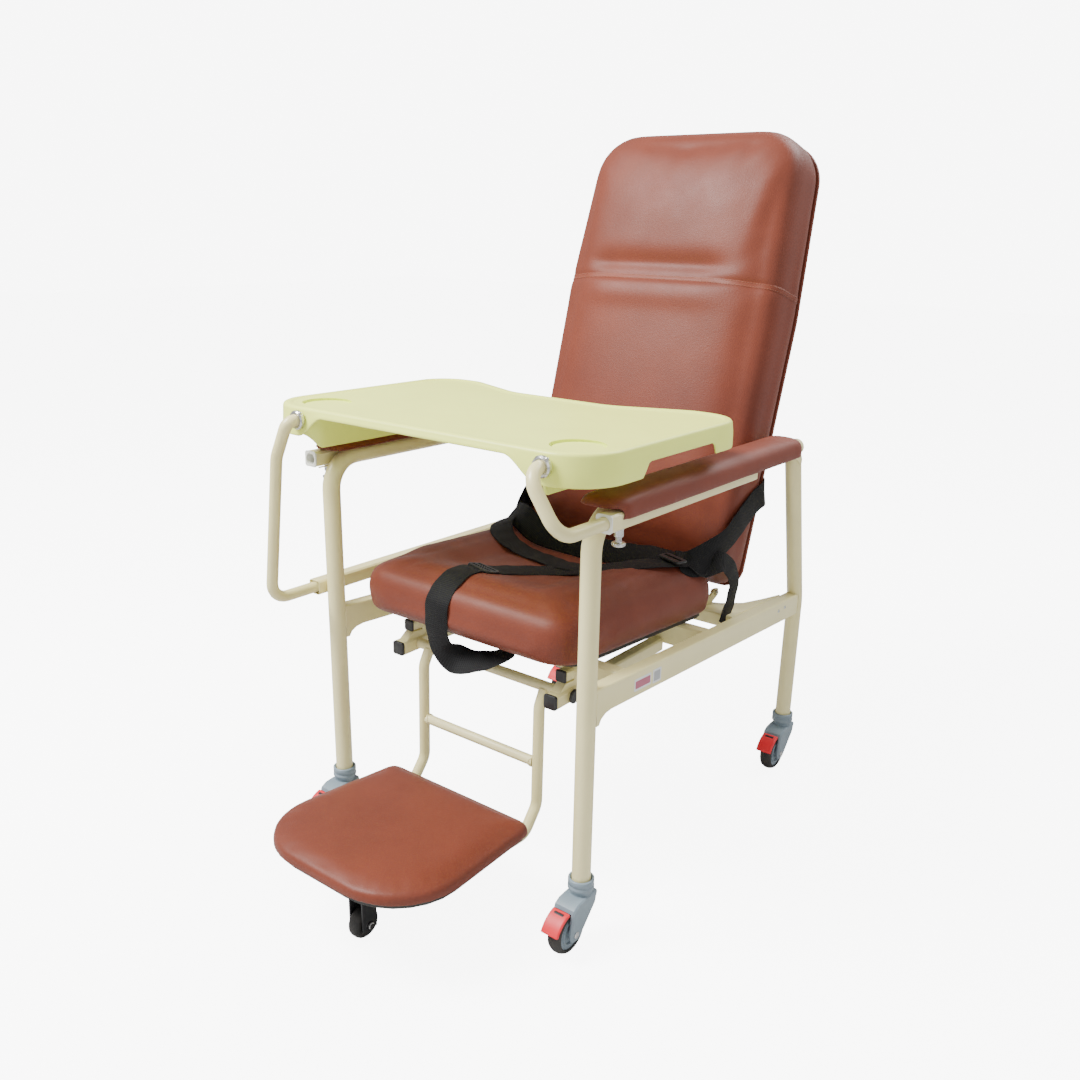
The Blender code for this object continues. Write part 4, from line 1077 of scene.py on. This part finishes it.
def tray_fittings():
    """A set screw on each clamp collar."""
    profile = [(0.003, -0.002), (0.003, 0.0022), (0.0024, 0.003), (0.0011, 0.003), (0.001, 0.0016)]
    for side, _ in SIDES:
        middle, size = centre_and_size(f"tray_clamp_{side}")
        spot = middle + Vector((size.x * 0.31, -0.0005, size.x * 0.36))
        new_object(f"clamp_screw_{side}", turned(profile, spot), "plated_steel", "tray")


# ---- wheels ----
def both_halves(half):
    """A profile of (radius, width) and its mirror image as one outline."""
    return [(radius, -width) for radius, width in half] + half[::-1]


def axle_heads(name, ends, profile, centre, body):
    """A hexagonal head on each end of an axle along X."""
    for sign, end in zip((1, -1), ends):
        bm = turned([(radius, sign * width) for radius, width in profile], centre, "X", 6)
        new_object(f"{name}_{end}", bm, "plated_steel", body, 20)


def caster(corner):
    """One braked caster: its tyre, rim, axle heads, fork, the socket round the leg's foot and its pedal."""
    centre, size = centre_and_size(f"caster_wheel_{corner}")
    radius = size.z / 2
    rim = 0.0125
    half = [(radius - 0.0088, rim - 0.003), (radius - 0.008, rim - 0.0004), (radius - 0.0062, rim + 0.0001)]
    half += [(radius - 0.0032, rim - 0.0018), (radius - 0.0012, rim - 0.0056), (radius, 0.003)]
    bm = turned(both_halves(half), centre, "X", 72, True)
    tyre = new_object(f"tyre_{corner}", bm, "tyre_rubber", f"wheel_{corner}", 50)
    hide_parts(f"caster_wheel_{corner}")
    hub = [(0.0045, rim + 0.0006), (0.008, rim + 0.0002), (0.0088, rim - 0.0032), (0.0178, rim - 0.0044)]
    hub += [(0.0192, rim - 0.0012), (0.0212, rim - 0.0008), (0.0222, rim - 0.0034)]
    hub.append((radius - 0.0086, rim - 0.0034))
    bm = turned(both_halves(hub), centre, "X", 72)
    new_object(f"wheel_rim_{corner}", bm, "caster_plastic", f"wheel_{corner}", 40)
    bolt = [(0.0058, 0.018), (0.0058, 0.0212), (0.0048, 0.0222), (0.0004, 0.0222)]
    axle_heads(f"axle_bolt_{corner}", ("outer", "inner"), bolt, centre, f"caster_{corner}")
    carried_over(f"caster_fork_{corner}", "caster_plastic", 0.001)
    # The socket in which the leg stands: (distance beyond the tube's wall, height).
    ring = [(0.0012, 0.105), (0.0012, 0.1135), (0.0022, 0.115), (0.0042, 0.115), (0.0056, 0.1135)]
    ring += [(0.0056, 0.1065), (0.0046, 0.105), (0.0046, 0.103), (0.0058, 0.1015), (0.0058, 0.0975)]
    ring += [(0.004, 0.095), (-0.001, 0.095), (-0.001, 0.105)]
    leg_y = FRONT_LEG_Y if corner.startswith("front") else REAR_LEG_Y
    bm = turned([(TUBE_R + gap, height) for gap, height in ring], (centre.x, leg_y, 0), "Z", 48, True)
    new_object(f"caster_socket_{corner}", bm, "caster_plastic", f"caster_{corner}", 50)
    carried_over(f"brake_pedal_{corner}", "pedal_plastic", 0.0012)
    pedal_insert(corner, centre, radius)


def pedal_insert(corner, centre, radius):
    """The black grip that is let into the upper half of the pedal, with one raised rib."""
    loops = []
    steps = 12
    for i in range(steps + 1):
        degrees = 70 - 26 * i / steps
        angle = radians(degrees)
        gap = 0.0024 + 0.0042 * (74 - degrees) / 54
        outer = radius + gap + 0.006 + 0.001 * (i in (2, 3))
        taper = 0.0095 * (1 - 0.25 * i / steps)
        corners = ((-taper, outer - 0.004), (taper, outer - 0.004), (taper, outer - 0.0006))
        corners += ((taper - 0.0007, outer), (-taper + 0.0007, outer), (-taper, outer - 0.0006))
        loops.append([centre + Vector((u, -r * cos(angle), r * sin(angle))) for u, r in corners])
    new_object(f"pedal_grip_{corner}", lofted(loops), "black_plastic", f"pedal_{corner}", 30)


def foot_wheel():
    centre, size = centre_and_size("foot_wheel")
    half = [(0.0045, 0.0212), (0.0045, 0.011), (0.0085, 0.01), (0.0125, 0.009), (0.015, 0.01)]
    half += [(0.0185, 0.0104), (0.0225, 0.0098), (0.025, 0.007), (size.z / 2, 0.003)]
    bm = turned(both_halves(half), centre, "X", 64)
    wheel = new_object("foot_tyre", bm, "tyre_rubber", "footrest_wheel", 50)
    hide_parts("foot_wheel")
    nut = [(0.006, 0.016), (0.006, 0.0195), (0.005, 0.0206), (0.0004, 0.0206)]
    axle_heads("foot_axle_nut", ("left", "right"), nut, centre, "footrest")


# ---- frame details ----
RUNG_R = 0.0088
UPRIGHT_R = 0.0098
CROSSBAR_R = 0.0105
RAIL_HALF_W = 0.0128
MEETING = TUBE_R * 0.55  # how far from a leg's middle the rail's flat side reaches its round wall


def frame_welds():
    """The weld beads where the rear legs, seat rails, footrest tubes and arm sockets join the frame."""
    for side, sign in SIDES:
        x = sign * LEG_X
        low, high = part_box(f"rear_leg_{side}")
        top = Vector((x, low.y + TUBE_R, high.z))
        bead(f"weld_rear_leg_{side}", saddle(top, (0, 0.1, 1), TUBE_R, (0, 1, 0), TUBE_R), "frame")
        for name, y in (("front", FRONT_LEG_Y + MEETING), ("rear", REAR_LEG_Y + 0.004 - MEETING)):
            z = rail_top(y - FRONT_LEG_Y) - 0.001
            for face in (1, -1):
                points = [Vector((x + face * RAIL_HALF_W, y, z - 0.04 * i / 12)) for i in range(13)]
                where = "out" if face * sign > 0 else "in"
                bead(f"weld_rail_{name}_{side}_{where}", points, "frame", 0.0016, False)
        upright_x = centre_and_size(f"footrest_upright_{side}")[0].x
        rung = centre_and_size("footrest_rung")[0]
        end = Vector((upright_x - sign * UPRIGHT_R, rung.y, rung.z))
        loop = saddle(end, (sign, 0, 0), RUNG_R, (0, 0, 1), UPRIGHT_R)
        bead(f"weld_rung_{side}", loop, "footrest", 0.0015)
        bar = centre_and_size("footrest_crossbar")[0]
        foot = Vector((upright_x, bar.y - 0.004, bar.z - 0.0075))
        loop = saddle(foot, (0, 0.25, 1), UPRIGHT_R, (1, 0, 0), CROSSBAR_R)
        bead(f"weld_crossbar_{side}", loop, "footrest", 0.0015)
        low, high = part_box(f"arm_socket_{side}")
        inner = low.x if sign > 0 else high.x
        for name, height in (("top", 0.85), ("low", 0.15)):
            z = low.z + (high.z - low.z) * height
            points = [Vector((inner, low.y + 0.004 + 0.045 * i / 14, z)) for i in range(15)]
            bead(f"weld_socket_{side}_{name}", points, "frame", 0.0013, False)


def rail_fittings():
    """Screws by the rear leg and blank labels on the outside of the left rail."""
    face = LEG_X + 0.0126
    head = [(0.0034, -0.002), (0.0034, 0.0004), (0.0026, 0.0013), (0.0012, 0.0014)]
    recess = [(0.0012, 0.0), (0.0012, 0.0015), (0.0003, 0.0015)]
    for index, (y, drop) in enumerate(((0.64, 0.016), (0.668, 0.014))):
        spot = at(face, y, rail_top(y) - drop)
        for part, profile, look in (("head", head, "plated_steel"), ("recess", recess, "black_plastic")):
            new_object(f"rail_screw_{part}_{index}", turned(profile, spot, "X", 24), look, "frame")
    for name, y, width, height, look in (
        ("label_wide", 0.138, 0.05, 0.021, "label_film"),
        ("label_wide_field", 0.138, 0.044, 0.013, "label_ink"),
        ("label_square", 0.181, 0.026, 0.024, "label_film"),
        ("label_square_field", 0.181, 0.019, 0.017, "label_grey_ink"),
    ):
        thick = 0.00035 if name.endswith("field") else 0.0002
        rounded = rounded_rectangle(width, height, 0.0015, 4)
        loops = []
        for depth in (-0.0003, thick):
            loops.append([at(face + depth, y + u, rail_top(y + u) - 0.0225 + v) for u, v in rounded])
        new_object(name, lofted(loops), look, "frame")


def stub_caps():
    """Black plugs in the front ends of the two square stubs."""
    square = rounded_rectangle(0.0205, 0.0205, 0.003, 4)
    y = 0.078
    for side, sign in SIDES:
        middle = at(sign * 0.171, y, rail_top(y) - 0.029)
        loops = []
        for scale, out in ((0.85, -0.004), (1, -0.0026), (1, -0.0001)):
            loops.append([middle + Vector((u * scale, out, v * scale)) for u, v in square])
        new_object(f"stub_cap_{side}", lofted(loops), "black_plastic", "frame")


def plunger_sleeves():
    """The plated sleeve under each arm socket, in which the lock plunger slides."""
    # Radius and depth below the sleeve's top.
    section = [(0.0048, 0), (0.0078, 0), (0.0078, 0.002), (0.007, 0.0026), (0.007, 0.013), (0.0062, 0.014)]
    section.append((0.0048, 0.014))
    for side, _ in SIDES:
        centre, size = centre_and_size(f"lock_plunger_{side}")
        top = centre.z + size.z / 2 + 0.0006
        profile = [(radius, top - depth) for radius, depth in section]
        bm = turned(profile, (centre.x, centre.y, 0), "Z", 32, True)
        new_object(f"plunger_sleeve_{side}", bm, "plated_steel", "frame")


def pins():
    """The headed pins through the gas spring's two eyes, and the recline hinge's short pins."""
    lean = radians(17.5)
    lever = HINGE + Vector((0, 0.085 * sin(lean), -0.085 * cos(lean)))
    clevis = at(0, 0.33, 0.343)
    for name, spot, body, half in (("front", clevis, "frame", 0.017), ("rear", lever, "backrest", 0.014)):
        profile = [(0.0035, -half - 0.002), (0.0055, -half - 0.002), (0.0055, -half), (0.0032, -half)]
        profile += [(0.0032, half), (0.0055, half), (0.0055, half + 0.002), (0.0035, half + 0.002)]
        new_object(f"spring_pin_{name}", turned(profile, spot, "X", 24), "plated_steel", body)
    profile = [(0.005, -0.006), (0.005, 0.006), (0.0042, 0.007), (0.0005, 0.007)]
    for side, sign in SIDES:
        spot = HINGE + Vector((sign * 0.19, -0.003, 0))
        new_object(f"hinge_pin_{side}", turned(profile, spot, "X", 24), "plated_steel", "frame")


# ---- assembly ----
add_camera()
add_floor()
add_lights()

# A look's name is its material slot's name, unless SLOT_OF says otherwise.
LOOKS = {
    "powder_coat": painted_steel(),
    "vinyl": vinyl("brown_vinyl", (0.16, 0.035, 0.0178)),
    "seam_vinyl": vinyl("seam_vinyl", (0.185, 0.043, 0.023)),
    "black_board": painted_board(),
    "webbing": woven(),
}
SLOT_OF = {"seam_vinyl": "vinyl", "thread": "vinyl"}
SLOT_OF.update(dict.fromkeys(("label_film", "label_ink", "label_grey_ink"), "white_plastic"))
for look, *settings in (
    ("thread", (0.3, 0.105, 0.062), (0.5, 0.7), 3000, (0.00005, 0.5)),
    ("tray_plastic", (0.87, 0.95, 0.2), (0.34, 0.46), 500, (0.0001, 0.4), 0.02),
    ("caster_plastic", (0.2, 0.255, 0.295), (0.36, 0.5)),
    ("pedal_plastic", (0.7, 0.01, 0.022), (0.42, 0.55)),
    ("black_plastic", (0.012, 0.012, 0.013), (0.38, 0.52)),
    ("white_plastic", (0.8, 0.8, 0.73), (0.35, 0.45)),
    ("label_film", (0.74, 0.74, 0.72), (0.3, 0.4), 300),
    ("label_ink", (0.42, 0.1, 0.16), (0.3, 0.4), 300),
    ("label_grey_ink", (0.36, 0.37, 0.38), (0.3, 0.4), 300, (0.00008, 0.5), 0.12),
):
    LOOKS[look] = moulded(look, *settings)
dusty = ((0.012, 0.011, 0.01), (0.038, 0.034, 0.03))
LOOKS["tyre_rubber"] = clouded(
    "tyre_rubber", dusty, (70, 4, 0.65), (0.55, 0.85), None, (700, 3), (0.0002, 0.5)
)
brushed = ((0.5, 0.5, 0.49), (0.7, 0.7, 0.69))
LOOKS["plated_steel"] = clouded(
    "plated_steel", brushed, (150, 4, 0.7), (0.18, 0.38), None, (900, 2), (0.00005, 0.4), Metallic=1
)

REBUILT = ("seat_cushion", "backrest_cushion", "armrest_pad", "footplate_pad", "tray_top", "crotch_strap")
REBUILT += ("belt_buckle", "lap_belt", "back_strap", "caster_wheel", "caster_fork", "brake_pedal")
for part in frame["record"]["subparts"]:
    if part["node"] != "foot_wheel" and not part["node"].startswith(REBUILT):
        carried_over(part["node"], part["material_slot"])

seat = seat_cushion()
backrest = backrest_cushion()
for side, _ in SIDES:
    small_cushion(f"armrest_upholstery_{side}", f"armrest_pad_{side}")
small_cushion("footplate_upholstery", "footplate_pad")
backrest_edge()
seam_band(backrest)
harness(seat, backrest)
tray()
tray_ribs()
tray_fittings()
for corner in CORNERS:
    caster(corner)
foot_wheel()
frame_welds()
rail_fittings()
stub_caps()
plunger_sleeves()
pins()
